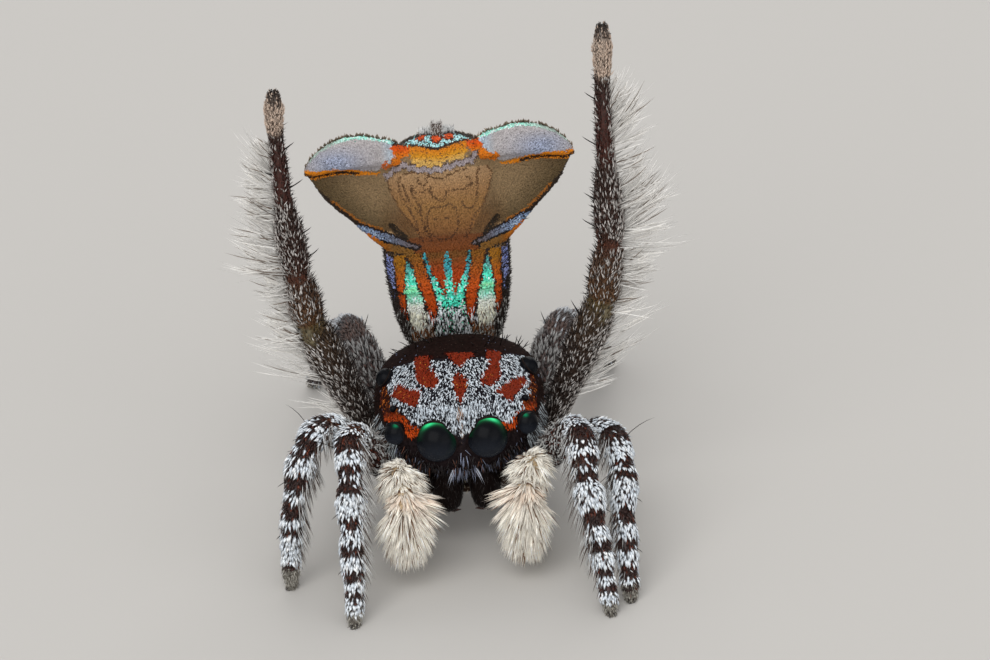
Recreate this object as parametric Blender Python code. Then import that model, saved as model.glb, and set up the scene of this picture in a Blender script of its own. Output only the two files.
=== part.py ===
"""Peacock spider in courtship display, modelled at life size.

The animal faces -Y, its own left side is +X, and its six standing feet rest on z = 0.
Every size below is in millimetres of the real spider. The mesh is scaled to metres at the end.
"""

import math
import random

import bmesh
import bpy
import numpy as np

MM = 0.001
GAP = 0.02
SEED = 7
SHARP_DEGREES = 50

# Places across the carapace from face to rear: y, half width, top height, bottom height
CARAPACE = [
    (-1.11, 0.30, 1.40, 1.02),
    (-1.08, 0.44, 1.46, 0.95),
    (-1.00, 0.56, 1.52, 0.89),
    (-0.88, 0.655, 1.57, 0.82),
    (-0.72, 0.735, 1.61, 0.74),
    (-0.45, 0.80, 1.655, 0.66),
    (-0.10, 0.85, 1.70, 0.60),
    (0.30, 0.83, 1.67, 0.60),
    (0.55, 0.77, 1.56, 0.62),
    (0.75, 0.68, 1.35, 0.64),
    (0.92, 0.56, 1.10, 0.67),
    (1.02, 0.42, 0.93, 0.70),
    (1.06, 0.27, 0.85, 0.74),
]
CARAPACE_POWER = 2.1
CARAPACE_SIDES = 26

# Eyes by pair: x of the left one, y, z, radius
EYES = {
    "front_median": (0.245, -1.00, 1.27, 0.21),
    "front_side": (0.642, -0.87, 1.313, 0.115),
    "middle": (0.65, -0.60, 1.43, 0.035),
    "rear": (0.70, -0.05, 1.46, 0.10),
}
# Least radius of a ball, and the sides and rings it gets
EYE_FACETS = [(0.2, 18, 11), (0.05, 14, 8), (0.0, 10, 7)]
# How many fewer sides and rings the pocket round an eye gets
POCKET_COARSER = (4, 2)

STERNUM_SIDES = 16
STERNUM_POWER = 2.4
STERNUM = [
    (-0.50, 0.08, 0.53, 0.47),
    (-0.42, 0.20, 0.57, 0.44),
    (-0.10, 0.29, 0.60, 0.42),
    (0.30, 0.27, 0.60, 0.42),
    (0.58, 0.10, 0.56, 0.46),
]
LABIUM_SIDES = 12
LABIUM_POWER = 2.2
LABIUM = [
    (-0.64, 0.04, 0.50, 0.45),
    (-0.60, 0.09, 0.52, 0.42),
    (-0.54, 0.07, 0.51, 0.44),
]

CHELICERA_X = 0.185
CHELICERA_Y = -0.84
CHELICERA_SIDES = 14
CHELICERA = [(0.38, 0.05), (0.44, 0.115), (0.58, 0.15), (0.74, 0.16), (0.86, 0.12), (0.90, 0.07)]
# Fang: how deep its root sits in the jaw, then its tip's x, and how far the tip lies behind and below the jaw
FANG_SINK = 0.05
FANG_TIP = (0.07, 0.03, 0.03)
FANG_RADIUS = 0.03
FANG_SIDES = 6

# The abdomen stands up behind the carapace and leans back. Heights run along its own axis.
ABDOMEN_FOOT = np.array([0.0, 1.02, 0.78])
ABDOMEN_LEAN = math.radians(8.0)
ABDOMEN = [
    (-0.17, 0.08, -0.26, -0.36),
    (-0.10, 0.20, -0.19, -0.44),
    (0.02, 0.30, -0.15, -0.49),
    (0.14, 0.37, -0.10, -0.52),
    (0.27, 0.43, 0.00, -0.53),
    (0.42, 0.48, 0.16, -0.53),
    (0.60, 0.53, 0.31, -0.51),
    (0.80, 0.57, 0.40, -0.49),
    (1.10, 0.61, 0.43, -0.46),
    (1.50, 0.62, 0.39, -0.44),
    (1.90, 0.59, 0.34, -0.40),
    (2.22, 0.55, 0.28, -0.33),
    (2.42, 0.48, 0.24, -0.24),
    (2.54, 0.36, 0.20, -0.16),
    (2.60, 0.22, 0.15, -0.08),
    (2.635, 0.10, 0.10, -0.02),
]
ABDOMEN_POWER = 2.5
ABDOMEN_SIDES = 24
PEDICEL_RADIUS = 0.06
PEDICEL_SIDES = 10
PEDICEL_INSIDE_HEAD = 0.1
PEDICEL_INSIDE_ABDOMEN = 0.4
# Spinnerets: a stub, and on it cones with the root's x and forward, the tip's x and forward, and the length
SPINNERET_STUB = 0.07
SPINNERET_STUB_RADII = [(0.0, 0.055), (1.0, 0.05)]
SPINNERET_STUB_SIDES = 12
SPINNERET_CONES = [(0.022, 0.018, 0.045, 0.042, 0.09), (0.022, -0.018, 0.045, -0.042, 0.08)]
SPINNERET_CONE_RADIUS = 0.022
SPINNERET_CONE_ROOT = 0.03
SPINNERET_CONE_SIDES = 6

# Outer edge of the spread flap: place along the edge, distance from the midline, height
FLAP_EDGE = [
    (0.0, 0.50, 1.36),
    (1.0, 0.71, 1.57),
    (2.0, 0.95, 1.84),
    (3.0, 1.14, 2.05),
    (4.0, 1.265, 2.25),
    (5.0, 1.30, 2.41),
    (6.0, 1.23, 2.55),
    (7.0, 1.02, 2.65),
    (8.0, 0.76, 2.68),
    (9.0, 0.56, 2.64),
    (10.0, 0.47, 2.61),
]
FLAP_WIDEST = 1.30
FLAP_ROOT = 0.44
# Height of the flap's root by share of the way up it
FLAP_ROOT_HEIGHT = [(0.0, 1.45), (0.5, 2.03), (1.0, 2.52)]
FLAP_THICKNESS = 0.07
FLAP_THINNING = 0.4
FLAP_FORWARD = 0.11
FLAP_CURL = 0.05
FLAP_STEPS = (5, 16)
LOBE_CENTRE = (0.84, 2.47)
LOBE_HALF_LENGTH = 0.49
LOBE_ABOVE = 0.238
LOBE_BELOW = 0.08
LOBE_DROOP = 0.10
LOBE_BULGE = 0.17
LOBE_BACK = 0.03
LOBE_RINGS = 5
LOBE_SIDES = 20

# Joints of each leg: hip, trochanter, knee, patella end, tibia end, metatarsus end, foot
LEGS = {
    "leg1_R": [(-0.36, -0.40, 0.50), (-0.60, -0.58, 0.54), (-1.094, -0.905, 1.40), (-1.11, -1.333, 1.12),
               (-1.149, -1.71, 0.78), (-1.165, -2.039, 0.33), (-1.19, -2.28, 0.0)],
    "leg1_L": [(0.36, -0.40, 0.50), (0.60, -0.58, 0.54), (1.139, -1.139, 1.40), (1.171, -1.708, 1.12),
               (1.212, -1.982, 0.78), (1.278, -2.191, 0.33), (1.305, -2.46, 0.0)],
    "leg2_R": [(-0.36, -0.13, 0.50), (-0.68, -0.26, 0.54), (-1.316, -0.664, 1.36), (-1.535, -0.918, 1.28),
               (-1.685, -1.167, 0.85), (-1.756, -1.359, 0.40), (-1.79, -1.46, 0.0)],
    "leg2_L": [(0.36, -0.13, 0.50), (0.68, -0.26, 0.54), (1.431, -0.82, 1.139), (1.547, -1.22, 0.976),
               (1.504, -1.66, 0.673), (1.509, -2.02, 0.30), (1.51, -2.23, 0.0)],
    "leg3_R": [(-0.36, 0.16, 0.50), (-0.84, 0.22, 0.56), (-1.396, 0.15, 2.02), (-1.479, 0.10, 2.602),
               (-1.546, -0.02, 3.499), (-1.56, -0.15, 4.278), (-1.539, -0.26, 4.859)],
    "leg3_L": [(0.36, 0.16, 0.50), (0.84, 0.22, 0.56), (1.479, 0.25, 1.934), (1.611, 0.25, 2.568),
               (1.626, 0.25, 3.502), (1.644, 0.25, 4.339), (1.689, 0.22, 5.029)],
    "leg4_R": [(-0.34, 0.45, 0.50), (-0.70, 0.74, 0.52), (-0.97, 1.25, 1.26), (-1.10, 1.55, 1.17),
               (-1.26, 1.95, 0.72), (-1.39, 2.28, 0.27), (-1.46, 2.46, 0.0)],
    "leg4_L": [(0.34, 0.45, 0.50), (0.70, 0.74, 0.52), (1.00, 1.24, 1.12), (1.15, 1.52, 1.05),
               (1.33, 1.90, 0.66), (1.46, 2.22, 0.25), (1.53, 2.40, 0.0)],
}
# Radius along a leg, by joint number, coat included
WALKING_RADII = [
    (0.0, 0.115), (1.0, 0.12), (1.35, 0.15), (1.7, 0.16), (2.0, 0.14), (2.5, 0.145), (3.0, 0.125),
    (3.5, 0.145), (4.0, 0.11), (4.5, 0.12), (5.0, 0.10), (5.5, 0.10), (5.85, 0.09), (6.0, 0.06),
]
RAISED_RADII = [
    (0.0, 0.115), (1.0, 0.12), (1.4, 0.165), (1.75, 0.205), (2.0, 0.17), (2.5, 0.18), (3.0, 0.14),
    (3.5, 0.155), (4.0, 0.10), (4.5, 0.09), (5.0, 0.08), (5.5, 0.10), (5.85, 0.115), (6.0, 0.08),
]
LEG_SIDES = 9
KNEE_ROUNDING = 0.20
# A corner whose two directions agree by more than this is rounded in 2 steps, a sharper one in 4
SLIGHT_BEND = 0.6
LONGEST_ROUNDING = 0.42
LEG_NODES = {"coxa_femur": (0, 2), "patella_tibia": (2, 4), "tarsus": (4, 6)}
CLAW_LENGTH = 0.07
CLAW_RADIUS = 0.014
CLAW_APART = 0.018
CLAW_TIPS_APART = 0.029
CLAW_LIFT = 0.035
CLAW_TIP_LIFT = 0.0175

# Fringe down the outer side of a raised leg: joint number, lean towards the foot in degrees, length
RAISED_FRINGE = [
    (1.3, 42, 0.40), (1.6, 34, 0.58), (1.85, 36, 0.56), (2.0, 28, 0.38), (2.3, 16, 0.32), (2.7, 12, 0.34),
    (2.95, 6, 0.42), (3.04, -2, 0.66), (3.12, 10, 0.62), (3.3, 26, 0.58), (3.6, 32, 0.48), (3.9, 24, 0.38),
    (4.03, 8, 0.36), (4.15, 20, 0.44), (4.45, 36, 0.50), (4.7, 42, 0.36), (4.93, 48, 0.22),
]
FRINGE_SHARE = {"leg3_R": 0.93, "leg3_L": 1.03}
# Its rows, in degrees from the outer side towards the front, and the step between locks
FRINGE_ROWS = (-28, 22, -3)
FRINGE_STEP = 0.10
FRINGE_WIDTH = 0.17
FRINGE_CLEAR_OF_JOINT = 0.04
# Joint numbers over which the path's length is sampled to place the next lock
FRINGE_SAMPLE = 0.05
# Soft hairs down the inner side of a walking leg, spaced evenly between two joint numbers
WALKING_HAIR = {"first": 1.5, "last": 4.9, "count": 8, "lean": 42, "length": 0.20, "width": 0.085}
WALKING_HAIR_ROWS = (-20, 25)
WALKING_HAIR_DROOP = 0.15
WALKING_HAIR_CLEAR_OF_JOINT = 0.1
# Dark spines of a raised leg: joint number, degrees from the front towards the body, length
RAISED_SPINES = [(1.62, 70, 0.20), (1.88, 80, 0.22), (3.25, 75, 0.20), (3.6, 60, 0.20), (4.25, 70, 0.22),
                 (4.5, -60, 0.18), (4.85, 80, 0.16)]
SPINE_RADIUS = 0.016
# Its reach out of the leg and along it, as shares of its length
SPINE_OUT = 0.75
SPINE_ALONG = 0.65
# Shares of a spine's length and of its root's radius
SPINE_SECTIONS = [(0.0, 1.0), (0.6, 0.7), (1.0, 0.12)]
LOCK_SINK = 0.05
LOCK_TURN = 5
LOCK_CLOSING = 0.12
LOCK_LENGTHS = (0.9, 1.1)
# Sections of a lock of hair: share of its length, then its width and its thickness as shares of the width
LOCK_SECTIONS = ((0.0, 0.7, 0.42), (0.42, 1.0, 0.34), (0.76, 0.66, 0.24))
SHORT_LOCK_SECTIONS = ((0.0, 0.8, 0.42), (0.55, 1.0, 0.32))

# Joints of each palp: mouth, trochanter, knee, patella end, tibia end, tip
PALPS = {
    "palp_R": [(-0.22, -0.62, 0.50), (-0.44, -0.88, 0.70), (-0.648, -1.12, 1.04), (-0.622, -1.28, 0.961),
               (-0.614, -1.38, 0.849), (-0.622, -1.62, 0.217)],
    "palp_L": [(0.22, -0.62, 0.50), (0.44, -0.88, 0.70), (0.686, -1.12, 1.045), (0.611, -1.28, 0.943),
               (0.579, -1.38, 0.824), (0.502, -1.62, 0.176)],
}
PALP_RADII = [
    (0.0, 0.07), (1.0, 0.085), (1.5, 0.095), (2.0, 0.10), (2.5, 0.12), (3.0, 0.10), (3.6, 0.13),
    (4.2, 0.155), (4.6, 0.155), (4.85, 0.11), (5.0, 0.06),
]
PALP_NODES = {"femur": (0, 3), "cymbium": (3, 5)}
PALP_ROUNDING = 0.10
PALP_SIDES = 10
# Hair tiers of a palp: joint number, degrees from the front towards the mouth, lean off the palp, length
PALP_COAT = [
    (1.9, (-80, -30, 25, 75), 66, 0.15),
    (2.45, (-85, -50, -15, 20, 55, 88), 40, 0.24),
    (3.25, (58, 88), 78, 0.34), (3.25, (-62, -88), 56, 0.24),
    (3.75, (48, 82), 60, 0.36), (3.75, (-55, -85), 40, 0.26),
    (4.1, (-90, -45, 0, 45, 90), 24, 0.30),
    (4.5, (-112, -62, -20, 25, 68, 115), 14, 0.28),
]
PALP_LOCK_WIDTH = 0.14
PALP_DROOP = 0.22

# Hair of the face: x of the left lock, y, z, length
FACE_HAIR = [(0.045, -1.09, 1.02, 0.19), (0.13, -1.09, 1.01, 0.15), (0.60, -0.93, 1.12, 0.17),
             (0.66, -0.88, 1.14, 0.20), (0.71, -0.80, 1.15, 0.19)]
FACE_LOCK_WIDTH = 0.075
FACE_LOCK_OUT = 0.35
FACE_LOCK_BEND = 0.15
FACE_MIDDLE_Y = -0.6

# Colour, roughness and metallic value of each material
MATERIALS = {
    "shell": ((0.05, 0.025, 0.015), 0.35, 0.0),
    "eye": ((0.01, 0.02, 0.02), 0.05, 0.0),
    "palp_hair": ((0.72, 0.62, 0.45), 0.70, 0.0),
    "leg_coat": ((0.12, 0.085, 0.065), 0.55, 0.0),
    "raised_leg_coat": ((0.08, 0.05, 0.035), 0.50, 0.0),
    "foot_coat": ((0.60, 0.52, 0.40), 0.60, 0.0),
    "fan_scales": ((0.30, 0.24, 0.17), 0.45, 0.0),
    "lobe_scales": ((0.38, 0.38, 0.50), 0.40, 0.1),
    "spinneret": ((0.10, 0.07, 0.05), 0.50, 0.0),
}


def along(rows, place):
    """Values at one place on a smooth curve through a table, whose first column is the place."""
    table = np.asarray(rows, float)
    place = min(max(place, table[0, 0]), table[-1, 0])
    last = len(table) - 1
    low = int(np.clip(np.searchsorted(table[:, 0], place) - 1, 0, last - 1))
    width = table[low + 1, 0] - table[low, 0]
    t = (place - table[low, 0]) / width

    def slope(row):
        before, after = max(row - 1, 0), min(row + 1, last)
        return (table[after, 1:] - table[before, 1:]) / (table[after, 0] - table[before, 0])

    rise = t * t * (3 - 2 * t)
    start = slope(low) * width * (t - 2 * t**2 + t**3)
    end = slope(low + 1) * width * (t**3 - t**2)
    return table[low, 1:] * (1 - rise) + table[low + 1, 1:] * rise + start + end


def unit(vector):
    return vector / np.linalg.norm(vector)


def abdomen_point(x, height, forward):
    """A point in the abdomen's own directions: sideways, up its axis, and out of its front."""
    up = np.array([0.0, math.sin(ABDOMEN_LEAN), math.cos(ABDOMEN_LEAN)])
    front = np.array([0.0, -math.cos(ABDOMEN_LEAN), math.sin(ABDOMEN_LEAN)])
    return ABDOMEN_FOOT + np.array([x, 0.0, 0.0]) + up * height + front * forward


def superellipse(sides, half_x, high, low, power):
    """Points round a rounded box: x, and height between low and high."""
    middle, half = (high + low) / 2, (high - low) / 2
    ring = []
    for k in range(sides):
        angle = 2 * math.pi * (k + 0.5) / sides
        c, s = math.cos(angle), math.sin(angle)
        x = half_x * math.copysign(abs(c) ** (2 / power), c)
        ring.append((x, middle + half * math.copysign(abs(s) ** (2 / power), s)))
    return ring


def loft(rings, point=None):
    """A closed surface through rings of as many points each, flat at both ends or drawn to a point."""
    count = len(rings[0])
    points = [p for ring in rings for p in ring]
    last = len(points) - count
    faces = [tuple(range(count))]
    if point is None:
        faces.append(tuple(range(last, last + count)))
    else:
        faces += [(last + k, last + (k + 1) % count, last + count) for k in range(count)]
    for r in range(len(rings) - 1):
        for k in range(count):
            a, b = r * count + k, r * count + (k + 1) % count
            faces.append((a, b, b + count))
            faces.append((a, b + count, a + count))
    return points + ([] if point is None else [point]), faces


def body_of_rows(rows, sides, power, grow=0.0):
    """A rounded body whose rows run along y: half width, top and bottom."""
    rings = []
    for y, half, top, bottom in rows:
        ring = superellipse(sides, half + grow, top + grow, bottom - grow, power)
        rings.append([(x, y, z) for x, z in ring])
    if grow:
        rings[0] = [(x, y - grow, z) for x, y, z in rings[0]]
        rings[-1] = [(x, y + grow, z) for x, y, z in rings[-1]]
    return loft(rings)


def abdomen_body(grow=0.0):
    """The abdomen's closed surface, made larger all round by grow."""
    rings = []
    for height, half, front, back in ABDOMEN:
        ring = superellipse(ABDOMEN_SIDES, half + grow, front + grow, back - grow, ABDOMEN_POWER)
        if height == ABDOMEN[0][0]:
            height -= grow
        if height == ABDOMEN[-1][0]:
            height += grow
        rings.append([abdomen_point(x, height, f) for x, f in ring])
    return loft(rings)


def ball(centre, radius, sides, rings):
    """A sphere with its poles on the y axis."""
    centre = np.asarray(centre, float)
    points = [centre + (0, -radius, 0)]
    for r in range(1, rings):
        turn = math.pi * r / rings
        for k in range(sides):
            angle = 2 * math.pi * k / sides
            spread = radius * math.sin(turn)
            offset = (spread * math.cos(angle), -radius * math.cos(turn), spread * math.sin(angle))
            points.append(centre + offset)
    points.append(centre + (0, radius, 0))
    last = len(points) - 1
    faces = []
    for k in range(sides):
        after = (k + 1) % sides
        faces.append((0, 1 + k, 1 + after))
        faces.append((last, last - sides + after, last - sides + k))
        for r in range(rings - 2):
            a, b = 1 + r * sides + k, 1 + r * sides + after
            faces.append((a, a + sides, b + sides))
            faces.append((a, b + sides, b))
    return points, faces


def rounded_path(joints, rounding):
    """Points along straight segments with rounded corners, each with its place in joint numbers."""
    joints = [np.asarray(j, float) for j in joints]
    found, cuts = [], []
    last = len(joints) - 1
    for j in range(last):
        length = np.linalg.norm(joints[j + 1] - joints[j])
        cuts.append(min(rounding, LONGEST_ROUNDING * length) / length)
    for j in range(last + 1):
        if j in (0, last):
            found.append((float(j), joints[j]))
        else:
            start = joints[j] + (joints[j - 1] - joints[j]) * cuts[j - 1]
            end = joints[j] + (joints[j + 1] - joints[j]) * cuts[j]
            straight = unit(joints[j] - joints[j - 1]) @ unit(joints[j + 1] - joints[j])
            steps = 2 if straight > SLIGHT_BEND else 4
            for t in (k / steps for k in range(steps + 1)):
                point = start * (1 - t) ** 2 + joints[j] * 2 * t * (1 - t) + end * t * t
                place = j - cuts[j - 1] * (1 - 2 * t) if t <= 0.5 else j + cuts[j] * (2 * t - 1)
                found.append((place, point))
        if j < last:
            found.append((j + 0.5, (joints[j] + joints[j + 1]) / 2))
    return found


def stretch(path, first, last, shorten_start, shorten_end):
    """The part of a path between two joints, pulled in at its ends to leave a gap."""
    part = [(place, point) for place, point in path if first <= place <= last]
    if shorten_start:
        step = unit(part[1][1] - part[0][1])
        part[0] = (part[0][0], part[0][1] + step * shorten_start)
    if shorten_end:
        step = unit(part[-2][1] - part[-1][1])
        part[-1] = (part[-1][0], part[-1][1] + step * shorten_end)
    return part


def tube(path, radii, sides, end_normal=None):
    """A closed tube along a path of (place, point), with its radius from a table of places."""
    points = [point for _, point in path]
    tangents = [unit(b - a) for a, b in zip(points, points[1:])]
    headings = [tangents[0]]
    headings += [unit(a + b) for a, b in zip(tangents, tangents[1:])]
    headings.append(tangents[-1] if end_normal is None else np.asarray(end_normal, float))
    any_direction = (0.31, 0.17, 0.93)
    side = unit(np.cross(headings[0], any_direction))
    rings = []
    for (place, point), heading in zip(path, headings):
        side = unit(side - heading * (side @ heading))
        other = np.cross(heading, side)
        radius = float(along(radii, place)[0])
        turns = [2 * math.pi * k / sides for k in range(sides)]
        rings.append([point + radius * (math.cos(a) * side + math.sin(a) * other) for a in turns])
    return loft(rings)


def spine(root, tip, radius, sides=4):
    """A straight tapered spine."""
    root, tip = np.asarray(root, float), np.asarray(tip, float)
    path = [(share, root + (tip - root) * share) for share, _ in SPINE_SECTIONS]
    return tube(path, [(share, radius * thick) for share, thick in SPINE_SECTIONS], sides)


def lock(root, out, lie, length, width, bend, thin_side=None, short=False):
    """A flat tapered lock of hair, its root sunk below the surface and its tip curving by bend."""
    start = root - out * LOCK_SINK
    across = unit(np.cross(lie, out if thin_side is None else thin_side))
    flat = unit(np.cross(across, lie))
    rings = []
    for t, wide, thick in SHORT_LOCK_SECTIONS if short else LOCK_SECTIONS:
        centre = start + lie * length * t + bend * length * t * t
        w, h = width * wide / 2, width * thick / 2
        rings.append([centre + across * w, centre + flat * h, centre - across * w, centre - flat * h])
    return loft(rings, start + (lie + bend) * length)


def on_path(path, place):
    """The point and the direction of a path at one place."""
    for (a, start), (b, end) in zip(path, path[1:]):
        if a <= place <= b:
            return start + (end - start) * (place - a) / (b - a), unit(end - start)
    raise ValueError(f"place {place} is off the path")


def around(heading, front, inward, degrees):
    """The direction square to heading that lies some degrees from the front towards the inner side."""
    a = math.radians(degrees)
    mixed = np.asarray(front, float) * math.cos(a) + np.asarray(inward, float) * math.sin(a)
    return unit(mixed - heading * (mixed @ heading))


def limb_lock(path, radii, place, out_of, lean, length, width, draws, droop=0.0, thin_side=None,
              short=False):
    """One lock on a limb, leaning off it by lean degrees from the limb's far end."""
    centre, heading = on_path(path, place)
    out = out_of(heading)
    lean = math.radians(lean + draws.uniform(-LOCK_TURN, LOCK_TURN))
    lie = unit(heading * math.cos(lean) + out * math.sin(lean))
    root = centre + out * float(along(radii, place)[0])
    bend = np.array([0.0, 0.0, -droop]) - out * LOCK_CLOSING
    return lock(root, out, lie, length * draws.uniform(*LOCK_LENGTHS), width, bend, thin_side, short)


def raised_fringe(path, first, last, sign, draws, share):
    """The comb of long pale hairs down the outer side of a raised leg, in three rows that overlap."""
    made = []
    place, turn = RAISED_FRINGE[0][0], 0
    while place < RAISED_FRINGE[-1][0]:
        if first + FRINGE_CLEAR_OF_JOINT < place < last - FRINGE_CLEAR_OF_JOINT:
            lean, length = along(RAISED_FRINGE, place)
            swing = FRINGE_ROWS[turn % len(FRINGE_ROWS)]

            def outward(heading, swing=swing):
                return around(heading, (sign, 0, 0), (0, -1, 0), swing)

            thin = around(on_path(path, place)[1], (0, -1, 0), (sign, 0, 0), -swing)
            made.append(limb_lock(path, RAISED_RADII, place, outward, 90 - lean, length * share,
                                  FRINGE_WIDTH, draws, thin_side=thin))
        turn += 1
        before, after = on_path(path, place)[0], on_path(path, place + FRINGE_SAMPLE)[0]
        place += FRINGE_SAMPLE * FRINGE_STEP / max(np.linalg.norm(after - before), 0.01)
    for place, degrees, length in RAISED_SPINES:
        if first < place < last:
            centre, heading = on_path(path, place)
            out = around(heading, (0, -1, 0), (-sign, 0, 0), degrees)
            radius = float(along(RAISED_RADII, place)[0])
            tip = centre + out * (radius + length * SPINE_OUT) + heading * length * SPINE_ALONG
            made.append(spine(centre + out * (radius - LOCK_SINK), tip, SPINE_RADIUS))
    return made


def walking_hair(path, first, last, sign, draws):
    """A few soft locks hanging along the inner side of a walking leg."""
    hair = WALKING_HAIR
    made = []
    for k in range(hair["count"]):
        place = hair["first"] + (hair["last"] - hair["first"]) * k / (hair["count"] - 1)
        swing = WALKING_HAIR_ROWS[k % len(WALKING_HAIR_ROWS)]
        if first + WALKING_HAIR_CLEAR_OF_JOINT < place < last - WALKING_HAIR_CLEAR_OF_JOINT:

            def inward(heading, swing=swing):
                return around(heading, (-sign, 0, -0.3), (0, -1, 0), swing)

            made.append(limb_lock(path, WALKING_RADII, place, inward, hair["lean"], hair["length"],
                                  hair["width"], draws, WALKING_HAIR_DROOP, short=True))
    return made


def palp_hair(path, first, last, sign, draws):
    """The tiers of cream hair on a palp."""
    made = []
    for place, turns, lean, length in PALP_COAT:
        for degrees in turns:
            if first < place < last:

                def out_of(heading, degrees=degrees):
                    return around(heading, (0, -1, 0.4), (-sign, 0, 0), degrees)

                made.append(limb_lock(path, PALP_RADII, place, out_of, lean, length, PALP_LOCK_WIDTH, draws,
                                      PALP_DROOP))
    return made


def face_hair():
    """The beard over the jaws and the pale hair of the cheeks."""
    made = []
    for x, y, z, length in FACE_HAIR:
        for sign in (1, -1):
            root = np.array([sign * x, y, z])
            out = unit(np.array([sign * x, y - FACE_MIDDLE_Y, 0.0]))
            lie = unit(out * FACE_LOCK_OUT + np.array([0.0, 0.0, -1.0]))
            made.append(lock(root, out, lie, length, FACE_LOCK_WIDTH, out * FACE_LOCK_BEND, short=True))
    return made


def flap_sheet(side):
    """The thin spread flap, two like triangulated faces joined round the edge."""
    across, up = FLAP_STEPS
    front, back = [], []
    for v in range(up + 1):
        edge_x, edge_h = along(FLAP_EDGE, FLAP_EDGE[-1][0] * v / up)
        root_h = along(FLAP_ROOT_HEIGHT, v / up)[0]
        for u in range(across + 1):
            t = u / across
            x = FLAP_ROOT + (edge_x - FLAP_ROOT) * t
            height = root_h + (edge_h - root_h) * t
            forward = flap_forward(x)
            half = FLAP_THICKNESS / 2 * (1 - FLAP_THINNING * t)
            front.append(abdomen_point(side * x, height, forward + half))
            back.append(abdomen_point(side * x, height, forward - half))
    width = across + 1
    total = len(front)
    faces = []
    for v in range(up):
        for u in range(across):
            a = v * width + u
            faces += [(a, a + 1, a + 1 + width), (a, a + 1 + width, a + width)]
            b = a + total
            faces += [(b, b + 1 + width, b + 1), (b, b + width, b + 1 + width)]
    rim = list(range(width)) + [v * width + across for v in range(1, up + 1)]
    rim += [up * width + u for u in range(across - 1, -1, -1)] + [v * width for v in range(up - 1, 0, -1)]
    for a, b in zip(rim, rim[1:] + rim[:1]):
        faces += [(a, b, b + total), (a, b + total, a + total)]
    return front + back, faces


def flap_forward(x):
    """How far the flap's middle surface lies in front of the abdomen's axis, curling forwards outwards."""
    t = (abs(x) - FLAP_ROOT) / (FLAP_WIDEST - FLAP_ROOT)
    return FLAP_FORWARD + FLAP_CURL * (t + t * t)


def flap_lobe(side):
    """The puffed lobe along the flap's upper edge, as a low dome with a flatter lower side."""
    rings, sides = LOBE_RINGS, LOBE_SIDES
    front, back = [], []
    for r in range(rings + 1):
        turn = math.pi / 2 * r / rings
        for k in range(sides):
            angle = 2 * math.pi * k / sides
            reach = LOBE_ABOVE if math.sin(angle) > 0 else LOBE_BELOW
            x = LOBE_CENTRE[0] + LOBE_HALF_LENGTH * math.cos(turn) * math.cos(angle)
            height = LOBE_CENTRE[1] + reach * math.cos(turn) * math.sin(angle)
            height -= LOBE_DROOP * ((x - LOBE_CENTRE[0]) / LOBE_HALF_LENGTH) ** 2
            base = flap_forward(x)
            front.append(abdomen_point(side * x, height, base + LOBE_BULGE * math.sin(turn)))
            back.append(abdomen_point(side * x, height, base - LOBE_BACK * math.sin(turn)))
    behind = [back[r * sides:(r + 1) * sides] for r in range(rings - 1, -1, -1)]
    before = [front[r * sides:(r + 1) * sides] for r in range(1, rings)]
    return loft(behind + before)


def make_object(shape, name):
    """A Blender object of one closed surface, its faces turned outwards, in metres."""
    points, faces = shape
    mesh = bpy.data.meshes.new(name)
    mesh.from_pydata([tuple(float(c) * MM for c in p) for p in points], [], faces)
    shaped = bmesh.new()
    shaped.from_mesh(mesh)
    bmesh.ops.recalc_face_normals(shaped, faces=shaped.faces)
    shaped.to_mesh(mesh)
    shaped.free()
    made = bpy.data.objects.new(name, mesh)
    bpy.context.scene.collection.objects.link(made)
    return made


def is_closed(mesh):
    """Whether a mesh has faces and two of them at every edge."""
    shaped = bmesh.new()
    shaped.from_mesh(mesh)
    closed = len(shaped.faces) > 0 and all(edge.is_manifold for edge in shaped.edges)
    shaped.free()
    return closed


def apply_boolean(target, shapes, operation):
    """Joins or cuts the target with several closed shapes at once, and removes the shapes."""
    group = bpy.data.collections.new("pieces")
    bpy.context.scene.collection.children.link(group)
    for shape in shapes:
        piece = make_object(shape, "piece")
        bpy.context.scene.collection.objects.unlink(piece)
        group.objects.link(piece)
    change = target.modifiers.new("join", "BOOLEAN")
    change.operation = operation
    change.operand_type = "COLLECTION"
    change.collection = group
    for solver in ("EXACT", "MANIFOLD"):
        change.solver = solver
        bpy.context.view_layer.update()
        ready = target.evaluated_get(bpy.context.evaluated_depsgraph_get())
        changed = bpy.data.meshes.new_from_object(ready)
        if is_closed(changed):
            break
    target.modifiers.clear()
    target.data = changed
    for piece in list(group.objects):
        bpy.data.objects.remove(piece)
    bpy.data.collections.remove(group)


def keep_largest(target):
    """Removes every closed surface of the mesh but the one with the most area."""
    shaped = bmesh.new()
    shaped.from_mesh(target.data)
    left = set(shaped.faces)
    surfaces = []
    while left:
        found = {left.pop()}
        edge_of = list(found)
        while edge_of:
            face = edge_of.pop()
            for edge in face.edges:
                for other in edge.link_faces:
                    if other in left:
                        left.remove(other)
                        found.add(other)
                        edge_of.append(other)
        surfaces.append(found)
    surfaces.sort(key=lambda faces: -sum(face.calc_area() for face in faces))
    dropped = [face for faces in surfaces[1:] for face in faces]
    bmesh.ops.delete(shaped, geom=dropped, context="FACES")
    shaped.to_mesh(target.data)
    shaped.free()


def add_node(name, material, body, pieces=(), cutters=()):
    """One named sub-part: a body, the pieces fused to it, and what is cut away from it."""
    made = make_object(body, name)
    if pieces:
        apply_boolean(made, pieces, "UNION")
    if cutters:
        apply_boolean(made, cutters, "DIFFERENCE")
    if pieces or cutters:
        keep_largest(made)
    made.data.materials.clear()
    made.data.materials.append(bpy.data.materials[material])
    made.data.shade_smooth()
    made.data.set_sharp_from_angle(angle=math.radians(SHARP_DEGREES))
    return made


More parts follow.
